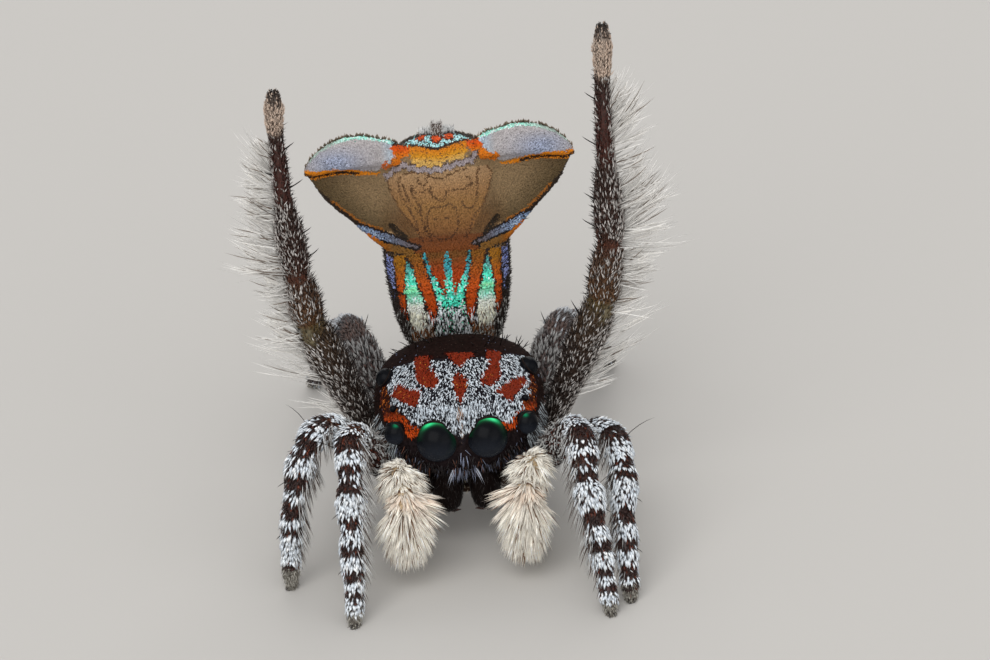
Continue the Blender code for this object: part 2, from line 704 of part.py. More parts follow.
def make_materials():
    for name, (colour, roughness, metallic) in MATERIALS.items():
        material = bpy.data.materials.new(name)
        material.use_nodes = True
        shader = material.node_tree.nodes["Principled BSDF"]
        shader.inputs["Base Color"].default_value = (*colour, 1.0)
        shader.inputs["Roughness"].default_value = roughness
        shader.inputs["Metallic"].default_value = metallic


def grown_carapace():
    return body_of_rows(CARAPACE, CARAPACE_SIDES, CARAPACE_POWER, GAP)


def make_head():
    pockets = []
    for pair, (x, y, z, radius) in EYES.items():
        sides, rings = next(facets for least, *facets in EYE_FACETS if radius > least)
        for letter, sign in (("L", 1), ("R", -1)):
            add_node(f"eye_{pair}_{letter}", "eye", ball((sign * x, y, z), radius, sides, rings))
            coarse = sides - POCKET_COARSER[0], rings - POCKET_COARSER[1]
            pockets.append(ball((sign * x, y, z), radius + GAP, *coarse))
    carapace = body_of_rows(CARAPACE, CARAPACE_SIDES, CARAPACE_POWER)
    add_node("carapace", "shell", carapace, face_hair(), pockets)
    add_node("sternum", "shell", body_of_rows(STERNUM, STERNUM_SIDES, STERNUM_POWER))
    add_node("labium", "shell", body_of_rows(LABIUM, LABIUM_SIDES, LABIUM_POWER))
    for letter, sign in (("L", 1), ("R", -1)):
        rings = []
        for z, radius in CHELICERA:
            turns = [2 * math.pi * k / CHELICERA_SIDES for k in range(CHELICERA_SIDES)]
            centre = np.array([sign * CHELICERA_X, CHELICERA_Y, z])
            rings.append([centre + radius * np.array([math.cos(a), math.sin(a), 0.0]) for a in turns])
        end = CHELICERA[0][0]
        fang_root = (sign * CHELICERA_X, CHELICERA_Y, end + FANG_SINK)
        fang_tip = (sign * FANG_TIP[0], CHELICERA_Y + FANG_TIP[1], end - FANG_TIP[2])
        fang = spine(fang_root, fang_tip, FANG_RADIUS, FANG_SIDES)
        add_node(f"chelicera_{letter}", "shell", loft(rings), [fang], [grown_carapace()])


def make_legs():
    draws = random.Random(SEED)
    for leg, joints in LEGS.items():
        raised = leg.startswith("leg3")
        sign = math.copysign(1, joints[0][0])
        radii = RAISED_RADII if raised else WALKING_RADII
        path = rounded_path(joints, KNEE_ROUNDING)
        for part, (first, last) in LEG_NODES.items():
            at_start, at_end = first > 0, last < 6
            piece = stretch(path, first, last, GAP / 2 * at_start, GAP / 2 * at_end)
            sole = (0, 0, -1) if last == 6 and not raised else None
            body = tube(piece, radii, LEG_SIDES, sole)
            coat = "raised_leg_coat" if raised else "leg_coat"
            if raised and part == "tarsus":
                coat = "foot_coat"
            if raised:
                pieces = raised_fringe(path, first, last, sign, draws, FRINGE_SHARE[leg])
            else:
                pieces = walking_hair(path, first, last, sign, draws)
            if part == "tarsus":
                pieces += claws(piece[-1][1], unit(piece[-1][1] - piece[-3][1]), raised)
            cutters = [grown_carapace()] if part == "coxa_femur" else []
            add_node(f"{leg}_{part}", coat, body, pieces, cutters)


def claws(foot, heading, raised):
    """Two small claws at the end of a foot, kept above the floor on a standing foot."""
    ahead = heading if raised else unit(np.array([heading[0], heading[1], 0.0]))
    across = unit(np.cross(ahead, (0.0, 0.3, 1.0)))
    lift, tip_lift = (0.0, 0.0) if raised else (CLAW_LIFT, CLAW_TIP_LIFT)
    made = []
    for sign in (1, -1):
        root = foot + (0.0, 0.0, lift) + across * sign * CLAW_APART - ahead * CLAW_APART
        tip = foot + (0.0, 0.0, tip_lift) + across * sign * CLAW_TIPS_APART + ahead * CLAW_LENGTH
        made.append(spine(root, tip, CLAW_RADIUS))
    return made


def make_palps():
    draws = random.Random(SEED + 1)
    for palp, joints in PALPS.items():
        path = rounded_path(joints, PALP_ROUNDING)
        sign = math.copysign(1, joints[0][0])
        for part, (first, last) in PALP_NODES.items():
            piece = stretch(path, first, last, GAP / 2 * (first > 0), GAP / 2 * (last < 5))
            body = tube(piece, PALP_RADII, PALP_SIDES)
            hair = palp_hair(path, first, last, sign, draws)
            cutters = [grown_carapace()] if part == "femur" else []
            add_node(f"{palp}_{part}", "palp_hair", body, hair, cutters)


def make_abdomen():
    add_node("abdomen", "fan_scales", abdomen_body())
    rear = CARAPACE[-1]
    middle = (rear[2] + rear[3]) / 2
    ends = (rear[0] - PEDICEL_INSIDE_HEAD, rear[0] + PEDICEL_INSIDE_ABDOMEN)
    bar = [(float(k), np.array([0.0, y, middle])) for k, y in enumerate(ends)]
    pedicel = tube(bar, [(0.0, PEDICEL_RADIUS), (1.0, PEDICEL_RADIUS)], PEDICEL_SIDES)
    add_node("pedicel", "shell", pedicel, cutters=[grown_carapace(), abdomen_body(GAP)])
    for letter, sign in (("L", 1), ("R", -1)):
        flap = flap_sheet(sign)
        add_node(f"fan_flap_{letter}", "lobe_scales", flap, [flap_lobe(sign)], [abdomen_body(GAP)])
    base = ABDOMEN[-1][0]
    stub_ends = (base + GAP, base + SPINNERET_STUB)
    root = [(float(k), abdomen_point(0, height, 0.0)) for k, height in enumerate(stub_ends)]
    cones = []
    for sign in (1, -1):
        for root_x, root_forward, tip_x, tip_forward, length in SPINNERET_CONES:
            start = abdomen_point(sign * root_x, base + SPINNERET_CONE_ROOT, root_forward)
            tip = abdomen_point(sign * tip_x, base + length, tip_forward)
            cones.append(spine(start, tip, SPINNERET_CONE_RADIUS, SPINNERET_CONE_SIDES))
    stub = tube(root, SPINNERET_STUB_RADII, SPINNERET_STUB_SIDES)
    add_node("spinnerets", "spinneret", stub, cones)


def stand_on_floor():
    """Parents every part to one empty that puts the middle of the model's base at the world's origin."""
    low, high = np.full(3, np.inf), np.full(3, -np.inf)
    parts = list(bpy.data.objects)
    for made in parts:
        for vertex in made.data.vertices:
            low, high = np.minimum(low, vertex.co), np.maximum(high, vertex.co)
    root = bpy.data.objects.new("peacock_spider", None)
    root.location = (-(low[0] + high[0]) / 2, -(low[1] + high[1]) / 2, -low[2])
    for made in parts:
        made.parent = root
    bpy.context.scene.collection.objects.link(root)


def main():
    for old in list(bpy.data.objects):
        bpy.data.objects.remove(old)
    make_materials()
    make_head()
    make_legs()
    make_palps()
    make_abdomen()
    stand_on_floor()


main()
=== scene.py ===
"""A peacock spider in courtship display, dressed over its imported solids.

Lengths are millimetres of the real spider until add_piece turns them into metres.
The animal faces -Y and its own left side is +X.
"""

import math

import bmesh
import bpy
import numpy as np
from mathutils import Matrix, Vector


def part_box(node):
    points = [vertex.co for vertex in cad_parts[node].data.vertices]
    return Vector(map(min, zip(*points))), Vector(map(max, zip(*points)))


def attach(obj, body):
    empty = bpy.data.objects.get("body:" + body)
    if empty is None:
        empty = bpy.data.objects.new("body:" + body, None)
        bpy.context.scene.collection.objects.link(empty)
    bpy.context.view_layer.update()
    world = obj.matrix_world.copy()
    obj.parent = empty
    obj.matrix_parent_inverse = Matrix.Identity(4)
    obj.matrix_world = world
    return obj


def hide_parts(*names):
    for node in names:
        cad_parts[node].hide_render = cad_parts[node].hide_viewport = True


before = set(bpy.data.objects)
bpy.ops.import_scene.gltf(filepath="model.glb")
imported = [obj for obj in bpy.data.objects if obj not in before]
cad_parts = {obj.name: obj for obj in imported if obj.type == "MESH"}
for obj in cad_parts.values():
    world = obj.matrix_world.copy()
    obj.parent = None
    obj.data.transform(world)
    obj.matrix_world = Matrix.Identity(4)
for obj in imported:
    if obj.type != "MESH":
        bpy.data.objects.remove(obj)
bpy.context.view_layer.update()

MM = 0.001
# The random draws of each part start from a seed of its own; legs and palps count on from theirs
SEEDS = {"fan": 11, "carapace": 21, "small_parts": 31, "legs": 40, "palps": 60}
# The photograph looks down by this angle
VIEW_TILT = math.radians(30.0)
EYE_LOW, EYE_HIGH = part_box("eye_front_median_L")
# The left front eye lies here in the part's own drawing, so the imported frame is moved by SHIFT
EYE_IN_PART = np.array([0.245, -1.00, 1.27])
SHIFT = (np.array(EYE_LOW) + np.array(EYE_HIGH)) / 2 / MM - EYE_IN_PART
# How much of the unwrap one scale or hair takes
PATCH = 0.003

# Places across the carapace from face to rear: y, half width, top height, bottom height
CARAPACE = [
    (-1.11, 0.30, 1.40, 1.02), (-1.08, 0.44, 1.46, 0.95), (-1.00, 0.56, 1.52, 0.89),
    (-0.88, 0.655, 1.57, 0.82), (-0.72, 0.735, 1.61, 0.74), (-0.45, 0.80, 1.655, 0.66),
    (-0.10, 0.85, 1.70, 0.60), (0.30, 0.83, 1.67, 0.60), (0.55, 0.77, 1.56, 0.62),
    (0.75, 0.68, 1.35, 0.64), (0.92, 0.56, 1.10, 0.67), (1.02, 0.42, 0.93, 0.70),
    (1.06, 0.27, 0.85, 0.74),
]
STERNUM = [(-0.50, 0.08, 0.53, 0.47), (-0.42, 0.20, 0.57, 0.44), (-0.10, 0.29, 0.60, 0.42),
           (0.30, 0.27, 0.60, 0.42), (0.58, 0.10, 0.56, 0.46)]
LABIUM = [(-0.64, 0.04, 0.50, 0.45), (-0.60, 0.09, 0.52, 0.42), (-0.54, 0.07, 0.51, 0.44)]
CHELICERA_X = 0.185
CHELICERA_Y = -0.84
CHELICERA = [(0.38, 0.05), (0.44, 0.115), (0.58, 0.15), (0.74, 0.16), (0.86, 0.12), (0.90, 0.07)]

# Eyes by pair: x of the left one, y, z, radius
EYES = {
    "front_median": (0.245, -1.00, 1.27, 0.21),
    "front_side": (0.642, -0.87, 1.313, 0.115),
    "middle": (0.65, -0.60, 1.43, 0.035),
    "rear": (0.70, -0.05, 1.46, 0.10),
}
# Which way the left eye of a pair looks, for the pairs with a rim
EYE_AIMS = {"front_median": (0.25, -1.0, 0.12), "front_side": (0.8, -1.0, 0.12), "rear": (1.0, 0.1, 0.75)}

# The abdomen stands up behind the carapace and leans back. Heights run along its own axis.
ABDOMEN_FOOT = np.array([0.0, 1.02, 0.78])
LEAN = math.radians(8.0)
FAN_UP = np.array([0.0, math.sin(LEAN), math.cos(LEAN)])
FAN_FRONT = np.array([0.0, -math.cos(LEAN), math.sin(LEAN)])
ABDOMEN = [
    (-0.17, 0.08, -0.26, -0.36), (-0.10, 0.20, -0.19, -0.44), (0.02, 0.30, -0.15, -0.49),
    (0.14, 0.37, -0.10, -0.52), (0.27, 0.43, 0.00, -0.53), (0.42, 0.48, 0.16, -0.53),
    (0.60, 0.53, 0.31, -0.51), (0.80, 0.57, 0.40, -0.49), (1.10, 0.61, 0.43, -0.46),
    (1.50, 0.62, 0.39, -0.44), (1.90, 0.59, 0.34, -0.40), (2.22, 0.55, 0.28, -0.33),
    (2.42, 0.48, 0.24, -0.24), (2.54, 0.36, 0.20, -0.16), (2.60, 0.22, 0.15, -0.08),
    (2.635, 0.10, 0.10, -0.02),
]
FLAP_EDGE = [
    (0.0, 0.50, 1.36), (1.0, 0.71, 1.57), (2.0, 0.95, 1.84), (3.0, 1.14, 2.05), (4.0, 1.265, 2.25),
    (5.0, 1.30, 2.41), (6.0, 1.23, 2.55), (7.0, 1.02, 2.65), (8.0, 0.76, 2.68), (9.0, 0.56, 2.64),
    (10.0, 0.47, 2.61),
]
FLAP_ROOT = 0.44
FLAP_ROOT_HEIGHT = [(0.0, 1.45), (0.5, 2.03), (1.0, 2.52)]
LOBE_CENTRE = (0.84, 2.47)
LOBE_HALF_LENGTH = 0.49
LOBE_UP, LOBE_DOWN, LOBE_FRONT, LOBE_BACK = 0.235, 0.08, 0.16, 0.025
LOBE_SAG = 0.10
FLAP_THICKNESS = 0.055
# Where the flap's sheet starts inside the abdomen, and how far its rim lies inside the scales' rim
FLAP_OVERLAP = 0.12
FLAP_INSET = 0.01
SKIN_VOXEL = 0.015
# The fan's front coat in three belts: name, lowest and highest height, number of scales
FAN_BELTS = (("neck", 0.45, 1.50, 12000), ("centre", 1.50, 2.12, 17000), ("crown", 2.12, 3.2, 24000))

# Joints of each leg: hip, trochanter, knee, patella end, tibia end, metatarsus end, foot
LEGS = {
    "leg1_R": [(-0.36, -0.40, 0.50), (-0.60, -0.58, 0.54), (-1.094, -0.905, 1.40), (-1.11, -1.333, 1.12),
               (-1.149, -1.71, 0.78), (-1.165, -2.039, 0.33), (-1.19, -2.28, 0.0)],
    "leg1_L": [(0.36, -0.40, 0.50), (0.60, -0.58, 0.54), (1.139, -1.139, 1.40), (1.171, -1.708, 1.12),
               (1.212, -1.982, 0.78), (1.278, -2.191, 0.33), (1.305, -2.46, 0.0)],
    "leg2_R": [(-0.36, -0.13, 0.50), (-0.68, -0.26, 0.54), (-1.316, -0.664, 1.36), (-1.535, -0.918, 1.28),
               (-1.685, -1.167, 0.85), (-1.756, -1.359, 0.40), (-1.79, -1.46, 0.0)],
    "leg2_L": [(0.36, -0.13, 0.50), (0.68, -0.26, 0.54), (1.431, -0.82, 1.139), (1.547, -1.22, 0.976),
               (1.504, -1.66, 0.673), (1.509, -2.02, 0.30), (1.51, -2.23, 0.0)],
    "leg3_R": [(-0.36, 0.16, 0.50), (-0.84, 0.22, 0.56), (-1.396, 0.15, 2.02), (-1.479, 0.10, 2.602),
               (-1.546, -0.02, 3.499), (-1.56, -0.15, 4.278), (-1.539, -0.26, 4.859)],
    "leg3_L": [(0.36, 0.16, 0.50), (0.84, 0.22, 0.56), (1.479, 0.25, 1.934), (1.611, 0.25, 2.568),
               (1.626, 0.25, 3.502), (1.644, 0.25, 4.339), (1.689, 0.22, 5.029)],
    "leg4_R": [(-0.34, 0.45, 0.50), (-0.70, 0.74, 0.52), (-0.97, 1.25, 1.26), (-1.10, 1.55, 1.17),
               (-1.26, 1.95, 0.72), (-1.39, 2.28, 0.27), (-1.46, 2.46, 0.0)],
    "leg4_L": [(0.34, 0.45, 0.50), (0.70, 0.74, 0.52), (1.00, 1.24, 1.12), (1.15, 1.52, 1.05),
               (1.33, 1.90, 0.66), (1.46, 2.22, 0.25), (1.53, 2.40, 0.0)],
}
# Radius of the skin along a leg, by joint number, narrow at each joint
WALKING_SKIN = [
    (0.0, 0.085), (1.0, 0.09), (1.35, 0.125), (1.7, 0.138), (1.93, 0.115), (2.0, 0.10), (2.1, 0.115),
    (2.5, 0.125), (2.93, 0.10), (3.05, 0.094), (3.3, 0.12), (3.6, 0.115), (3.93, 0.088), (4.05, 0.084),
    (4.4, 0.095), (4.9, 0.078), (5.05, 0.07), (5.5, 0.074), (5.85, 0.066), (6.0, 0.04),
]
RAISED_SKIN = [
    (0.0, 0.085), (1.0, 0.09), (1.4, 0.13), (1.75, 0.165), (1.94, 0.14), (2.02, 0.115), (2.2, 0.135),
    (2.5, 0.145), (2.9, 0.12), (3.02, 0.10), (3.2, 0.125), (3.6, 0.12), (3.95, 0.082), (4.05, 0.07),
    (4.5, 0.068), (4.95, 0.056), (5.05, 0.055), (5.5, 0.068), (5.85, 0.085), (6.0, 0.055),
]
KNEE_ROUNDING = 0.20
# Pale bands of the walking legs, from one joint number to another
BANDS = {
    "leg1_R": [(1.86, 1.97), (2.11, 2.27), (2.55, 2.82), (3.06, 3.15), (3.41, 3.86), (4.11, 4.32),
               (4.54, 4.77), (4.99, 5.18), (5.36, 5.8)],
    "leg2_R": [(1.9, 2.1), (2.34, 2.77), (3.09, 3.15), (3.27, 3.58), (3.92, 4.07), (4.42, 4.55),
               (4.77, 5.45)],
    "leg1_L": [(1.95, 2.23), (2.46, 2.70), (2.88, 2.96), (3.17, 3.75), (4.10, 4.36), (4.61, 4.90),
               (5.14, 5.29), (5.51, 5.9)],
    "leg2_L": [(1.95, 2.24), (2.62, 2.99), (3.19, 3.28), (3.47, 3.98), (4.29, 4.54), (4.79, 5.09),
               (5.39, 5.56), (5.8, 6.0)],
}
REAR_BANDS = [(2.5, 2.7), (3.3, 3.6), (4.3, 4.6)]
# Where the grey foot starts
GREY_FOOT = {"leg2_R": 5.46}
USUAL_GREY_FOOT = 5.68
# How far along a leg, in joint numbers, the middle of a scale lies from its root
SCALE_REACH = 0.09
# Fringe down a raised leg's outer side: joint number, lean towards the foot in degrees, length
RAISED_FRINGE = [
    (1.3, 42, 0.40), (1.6, 34, 0.58), (1.85, 36, 0.56), (2.0, 28, 0.38), (2.3, 16, 0.32), (2.7, 12, 0.34),
    (2.95, 6, 0.42), (3.04, -2, 0.66), (3.12, 10, 0.62), (3.3, 26, 0.58), (3.6, 32, 0.48), (3.9, 24, 0.38),
    (4.03, 8, 0.36), (4.15, 20, 0.44), (4.45, 36, 0.50), (4.7, 42, 0.36), (4.93, 48, 0.22),
]
FRINGE_SHARE = {"leg3_R": 0.93, "leg3_L": 1.03}
FRINGE_ENDS = (1.25, 4.93)
FRINGE_TUFTS, HAIRS_IN_TUFT = 92, 8
# Joint numbers of a raised leg's bare knee and bare joint
BARE_KNEE, BARE_JOINT = 1.99, 3.02
# Dark spines of a raised leg: joint number, degrees from the front towards the body, length
RAISED_SPINES = [(1.62, 70, 0.20), (1.88, 80, 0.22), (3.25, 75, 0.20), (3.6, 60, 0.20), (4.25, 70, 0.22),
                 (4.5, -60, 0.18), (4.85, 80, 0.16)]
WALKING_BRISTLES = [(1.7, 10, 0.20), (1.85, -60, 0.14), (2.05, 60, 0.16), (2.4, -80, 0.40), (3.3, 40, 0.14),
                    (3.7, -70, 0.12), (4.3, 20, 0.12), (4.7, -75, 0.10)]
# Colours down a raised leg, then the share of pale scales there, both by joint number
RAISED_SHADES = [
    (1.0, 44, 34, 29), (1.6, 56, 42, 34), (1.92, 74, 56, 38), (2.02, 104, 88, 56), (2.12, 98, 68, 42),
    (2.8, 82, 58, 42), (2.98, 88, 56, 42), (3.03, 108, 64, 48), (3.08, 76, 46, 34), (3.3, 64, 42, 34),
    (3.95, 58, 40, 33), (4.05, 76, 42, 33), (4.3, 72, 38, 31), (4.9, 66, 39, 33), (5.0, 60, 40, 34),
    (5.12, 66, 46, 38), (5.2, 184, 164, 148), (5.74, 196, 178, 162), (5.82, 78, 62, 52), (6.0, 58, 48, 42),
]
RAISED_PALE = [
    (1.0, 0.60), (1.9, 0.56), (2.02, 0.05), (2.15, 0.6), (2.9, 0.62), (2.97, 0.15), (3.06, 0.1), (3.14, 0.70),
    (3.9, 0.66), (4.05, 0.50), (4.9, 0.50), (4.98, 0.25), (5.12, 0.2), (5.2, 0.9), (5.74, 0.9), (5.82, 0.3),
    (6.0, 0.2),
]

# Joints of each palp: mouth, trochanter, knee, patella end, tibia end, tip
PALPS = {
    "palp_R": [(-0.22, -0.62, 0.50), (-0.44, -0.88, 0.70), (-0.648, -1.12, 1.04), (-0.622, -1.28, 0.961),
               (-0.614, -1.38, 0.849), (-0.622, -1.62, 0.217)],
    "palp_L": [(0.22, -0.62, 0.50), (0.44, -0.88, 0.70), (0.686, -1.12, 1.045), (0.611, -1.28, 0.943),
               (0.579, -1.38, 0.824), (0.502, -1.62, 0.176)],
}
PALP_SKIN = [(0.0, 0.06), (1.0, 0.07), (1.5, 0.08), (2.0, 0.085), (2.5, 0.10), (3.0, 0.08), (3.6, 0.10),
             (3.95, 0.09), (4.2, 0.12), (4.5, 0.12), (4.75, 0.06), (4.85, 0.01), (5.0, 0.002)]
PALP_ROUNDING = 0.10
# Hair of a palp: joint number, lean off the palp towards its tip in degrees, length, droop
PALP_HAIR = [(1.85, 66, 0.13, 0.20), (2.15, 60, 0.17, 0.25), (2.4, 60, 0.25, 0.30), (2.65, 60, 0.24, 0.26),
             (3.0, 57, 0.17, 0.16), (3.3, 48, 0.08, 0.06), (3.48, 40, 0.04, 0.03), (3.56, 58, 0.14, 0.03),
             (3.66, 76, 0.29, 0.04), (3.9, 68, 0.31, 0.05), (4.04, 54, 0.32, 0.06),
             (4.15, 40, 0.34, 0.04), (4.4, 27, 0.33, 0.02), (4.7, 18, 0.28, 0.0), (5.0, 12, 0.2, 0.0)]
PALP_TIP_LENGTH = 0.69
# Where the tiers part, and from where to where the lower one's hair stands off sideways
PALP_PARTING = 3.51
PALP_TIER = (3.53, 4.10)
PALP_BUNCHES, HAIRS_IN_BUNCH = 740, 5

# The fan's pattern, in the abdomen's own directions: sideways and height
LOBE_LINE = [(0.28, 2.62), (0.33, 2.53), (0.40, 2.45), (0.50, 2.43), (0.61, 2.37), (0.76, 2.39),
             (0.90, 2.42), (1.04, 2.425), (1.23, 2.405), (1.36, 2.43)]
LOBE_TOP = [(1.40, 2.50), (1.30, 2.75), (0.8, 2.95), (0.45, 2.80), (0.30, 2.68)]
CROWN_TOP = [(-0.43, 2.63), (-0.29, 2.611), (-0.141, 2.578), (-0.011, 2.541), (0.124, 2.584),
             (0.278, 2.621), (0.37, 2.65)]
CROWN_FOOT = [(0.40, 2.62), (0.46, 2.48), (0.58, 2.45), (0.57, 2.39), (0.45, 2.40), (0.36, 2.45),
              (0.285, 2.545), (0.255, 2.43), (0.07, 2.40), (-0.025, 2.355), (-0.21, 2.37), (-0.27, 2.41),
              (-0.29, 2.53), (-0.37, 2.45), (-0.46, 2.40), (-0.50, 2.41), (-0.43, 2.50), (-0.46, 2.58)]
CROWN_BLOB = (-0.52, 2.42)
BOW = [(-0.52, 2.30), (-0.44, 2.36), (-0.342, 2.40), (-0.216, 2.345), (-0.086, 2.32), (0.028, 2.33),
       (0.164, 2.365), (0.30, 2.395), (0.36, 2.46)]
RED_SPOTS = [(-0.168, 2.695), (-0.011, 2.655), (0.113, 2.68)]
CENTRE_EDGE = [(-0.511, 2.317), (-0.517, 2.237), (-0.49, 2.113), (-0.443, 1.987), (-0.385, 1.88),
               (-0.326, 1.793), (-0.269, 1.687), (-0.22, 1.58), (-0.20, 1.45), (0.17, 1.45),
               (0.195, 1.573), (0.292, 1.717), (0.36, 1.864), (0.43, 2.03), (0.486, 2.147), (0.51, 2.25),
               (0.46, 2.33)]
WHORLS = [
    CENTRE_EDGE[:8],
    [(-0.41, 2.24), (-0.37, 2.30), (-0.29, 2.32), (-0.16, 2.30), (-0.09, 2.25), (0.0, 2.22), (0.08, 2.26),
     (0.16, 2.29), (0.26, 2.31)],
    [(-0.41, 2.24), (-0.41, 2.12), (-0.35, 1.99), (-0.28, 1.82), (-0.25, 1.70)],
    [(-0.37, 2.20), (-0.35, 2.10), (-0.31, 1.99), (-0.23, 1.88)],
    [(-0.29, 2.19), (-0.27, 2.10), (-0.18, 2.10), (-0.13, 2.13), (-0.10, 2.07), (-0.06, 2.01), (0.01, 1.98),
     (0.04, 2.08), (0.10, 2.10), (0.22, 2.10), (0.28, 2.14)],
    [(-0.295, 2.176), (-0.293, 2.095), (-0.235, 1.988), (-0.215, 1.885)],
    [(-0.10, 2.16), (-0.10, 2.07), (-0.04, 2.01)],
    [(0.38, 2.33), (0.35, 2.23), (0.35, 2.11), (0.33, 1.97), (0.28, 1.89), (0.20, 1.90), (0.19, 1.97)],
    [(0.46, 2.33), (0.51, 2.25), (0.48, 2.16), (0.44, 2.02), (0.37, 1.89), (0.31, 1.83), (0.27, 1.74),
     (0.20, 1.59)],
    [(0.23, 2.23), (0.29, 2.21), (0.29, 2.14), (0.24, 2.12)],
    [(-0.10, 1.93), (-0.14, 1.90), (-0.165, 1.83), (-0.165, 1.74), (-0.14, 1.66), (-0.09, 1.60), (-0.03, 1.58),
     (0.04, 1.585), (0.09, 1.63), (0.125, 1.70), (0.14, 1.78), (0.135, 1.86), (0.11, 1.93), (0.06, 1.955),
     (0.01, 1.925), (-0.05, 1.925), (-0.10, 1.93)],
    [(-0.09, 1.80), (-0.06, 1.815)],
    [(0.01, 1.81), (0.05, 1.80)],
    [(-0.20, 1.99), (-0.22, 1.92), (-0.21, 1.80), (-0.18, 1.68), (-0.13, 1.58)],
    [(-0.215, 2.265), (-0.22, 2.20), (-0.165, 2.165), (-0.13, 2.20), (-0.14, 2.25)],
]
WHORL_WIDTH = 0.017
WING_FOOT = [(1.38, 2.42), (1.30, 2.35), (1.21, 2.21), (1.02, 2.00), (0.85, 1.84), (0.76, 1.78),
             (0.64, 1.735)]
LOBE_RIM = [2.60, 2.65, 2.705, 2.735, 2.70, 2.63, 2.52]
BLUE_BAND = [(0.85, 1.80), (0.71, 1.718), (0.60, 1.662), (0.47, 1.607), (0.36, 1.55), (0.27, 1.515)]
ORANGE_BAND = [(0.78, 1.70), (0.715, 1.64), (0.61, 1.56), (0.49, 1.518), (0.36, 1.47)]
WEDGE = [(0.52, 1.78), (0.45, 1.70), (0.38, 1.62)]
TAN_PATCH = [(0.545, 1.69), (0.545 + 0.05, 1.69)]
# Stripes of the neck by height: outer edges of the centre column, the inner red stripe, the thin
# turquoise line and the inner orange stripe, then the drop's two edges, the outer orange stripe's edge
# and the lavender strip's two edges
NECK = [
    (0.60, 0.06, 0.06, 0.19, 0.19, 0.30, 0.34, 0.34, 0.60, 0.60),
    (0.71, 0.06, 0.06, 0.19, 0.20, 0.26, 0.38, 0.40, 0.60, 0.60),
    (0.82, 0.05, 0.05, 0.155, 0.215, 0.262, 0.42, 0.44, 0.60, 0.60),
    (0.927, 0.04, 0.04, 0.145, 0.243, 0.255, 0.44, 0.495, 0.60, 0.60),
    (1.035, 0.04, 0.045, 0.145, 0.26, 0.265, 0.44, 0.505, 0.58, 0.58),
    (1.143, 0.04, 0.08, 0.172, 0.30, 0.305, 0.435, 0.508, 0.53, 0.545),
    (1.25, 0.035, 0.148, 0.198, 0.325, 0.328, 0.418, 0.508, 0.525, 0.585),
    (1.36, 0.045, 0.178, 0.225, 0.35, 0.352, 0.408, 0.52, 0.525, 0.62),
    (1.45, 0.02, 0.19, 0.235, 0.385, 0.387, 0.40, 0.53, 0.535, 0.66),
    (1.55, 0.0, 0.20, 0.24, 0.40, 0.40, 0.40, 0.53, 0.54, 0.68),
]
NECK_TOP = 1.50
# The pattern's heights hold in a plane this far forward, as seen from above at the slant, and
# the neck's in one further on
PATTERN_PLANE = 0.30
NECK_PLANE = 0.12
SLANT = math.tan(VIEW_TILT - LEAN)

# Patches of the carapace: sideways, and how far up the face as seen from above its front
FIELD = [
    (-0.68, 1.31), (-0.56, 1.36), (-0.40, 1.39), (-0.23, 1.39), (-0.06, 1.38), (0.03, 1.32), (0.16, 1.38),
    (0.29, 1.37), (0.42, 1.38), (0.55, 1.38), (0.66, 1.35), (0.72, 1.25), (0.68, 1.09), (0.68, 1.01),
    (0.62, 0.87), (0.54, 0.79), (0.42, 0.72), (0.28, 0.74), (0.15, 0.72), (0.05, 0.66), (0.0, 0.62),
    (-0.05, 0.66), (-0.17, 0.72), (-0.34, 0.75), (-0.46, 0.79), (-0.53, 0.88), (-0.61, 0.96),
    (-0.66, 1.03), (-0.67, 1.14), (-0.69, 1.24),
]
RED_PATCHES = [
    [(-0.38, 1.42), (-0.26, 1.42), (-0.26, 1.30), (-0.18, 1.20), (-0.23, 1.13), (-0.33, 1.15),
     (-0.38, 1.23), (-0.38, 1.33)],
    [(0.31, 1.43), (0.42, 1.41), (0.40, 1.28), (0.41, 1.19), (0.33, 1.11), (0.23, 1.13), (0.25, 1.20),
     (0.32, 1.27)],
    [(-0.07, 1.43), (0.16, 1.42), (0.03, 1.31)],
    [(0.01, 1.24), (0.09, 1.17), (0.07, 1.10), (0.02, 0.95), (-0.02, 1.07), (-0.04, 1.19)],
    [(-0.56, 1.18), (-0.48, 1.12), (-0.37, 1.10), (-0.39, 1.01), (-0.45, 0.95), (-0.53, 1.02),
     (-0.63, 1.09)],
    [(0.63, 1.16), (0.66, 1.11), (0.56, 1.03), (0.50, 0.94), (0.43, 1.00), (0.36, 1.04), (0.47, 1.11)],
]
MARGIN = [(0.73, 1.26), (0.70, 1.24), (0.675, 1.05), (0.60, 0.90), (0.48, 0.77), (0.39, 0.72),
          (0.42, 0.655), (0.50, 0.66), (0.62, 0.74), (0.74, 0.86), (0.76, 1.05)]

# The photograph's camera in the part's millimetres, its lens and the turn of its horizon
LOOK_AT = np.array([0.409, -0.488, 2.157])
CAMERA_PLACE = np.array([0.409, -104.411, 62.157])
HORIZON_TURN = math.radians(4.8)
LENS, SENSOR = 446.8, 36.0
# Lamps in metres: name, place from the middle of the spider, size and power
LAMPS = (("key", (-0.10, -0.20, 0.26), 0.34, 0.72), ("fill", (0.24, -0.22, 0.12), 0.30, 0.22),
         ("back", (0.05, 0.25, 0.20), 0.20, 0.25))


def paint(red, green, blue):
    """A colour as the eye reads it, 0 to 255, turned into the linear values that shaders use."""
    value = np.array([red, green, blue]) / 255
    return np.where(value > 0.04045, ((value + 0.055) / 1.055) ** 2.4, value / 12.92)


def unit(vectors):
    """Vectors made one long."""
    vectors = np.asarray(vectors, float)
    return vectors / np.maximum(np.linalg.norm(vectors, axis=-1, keepdims=True), 1e-12)


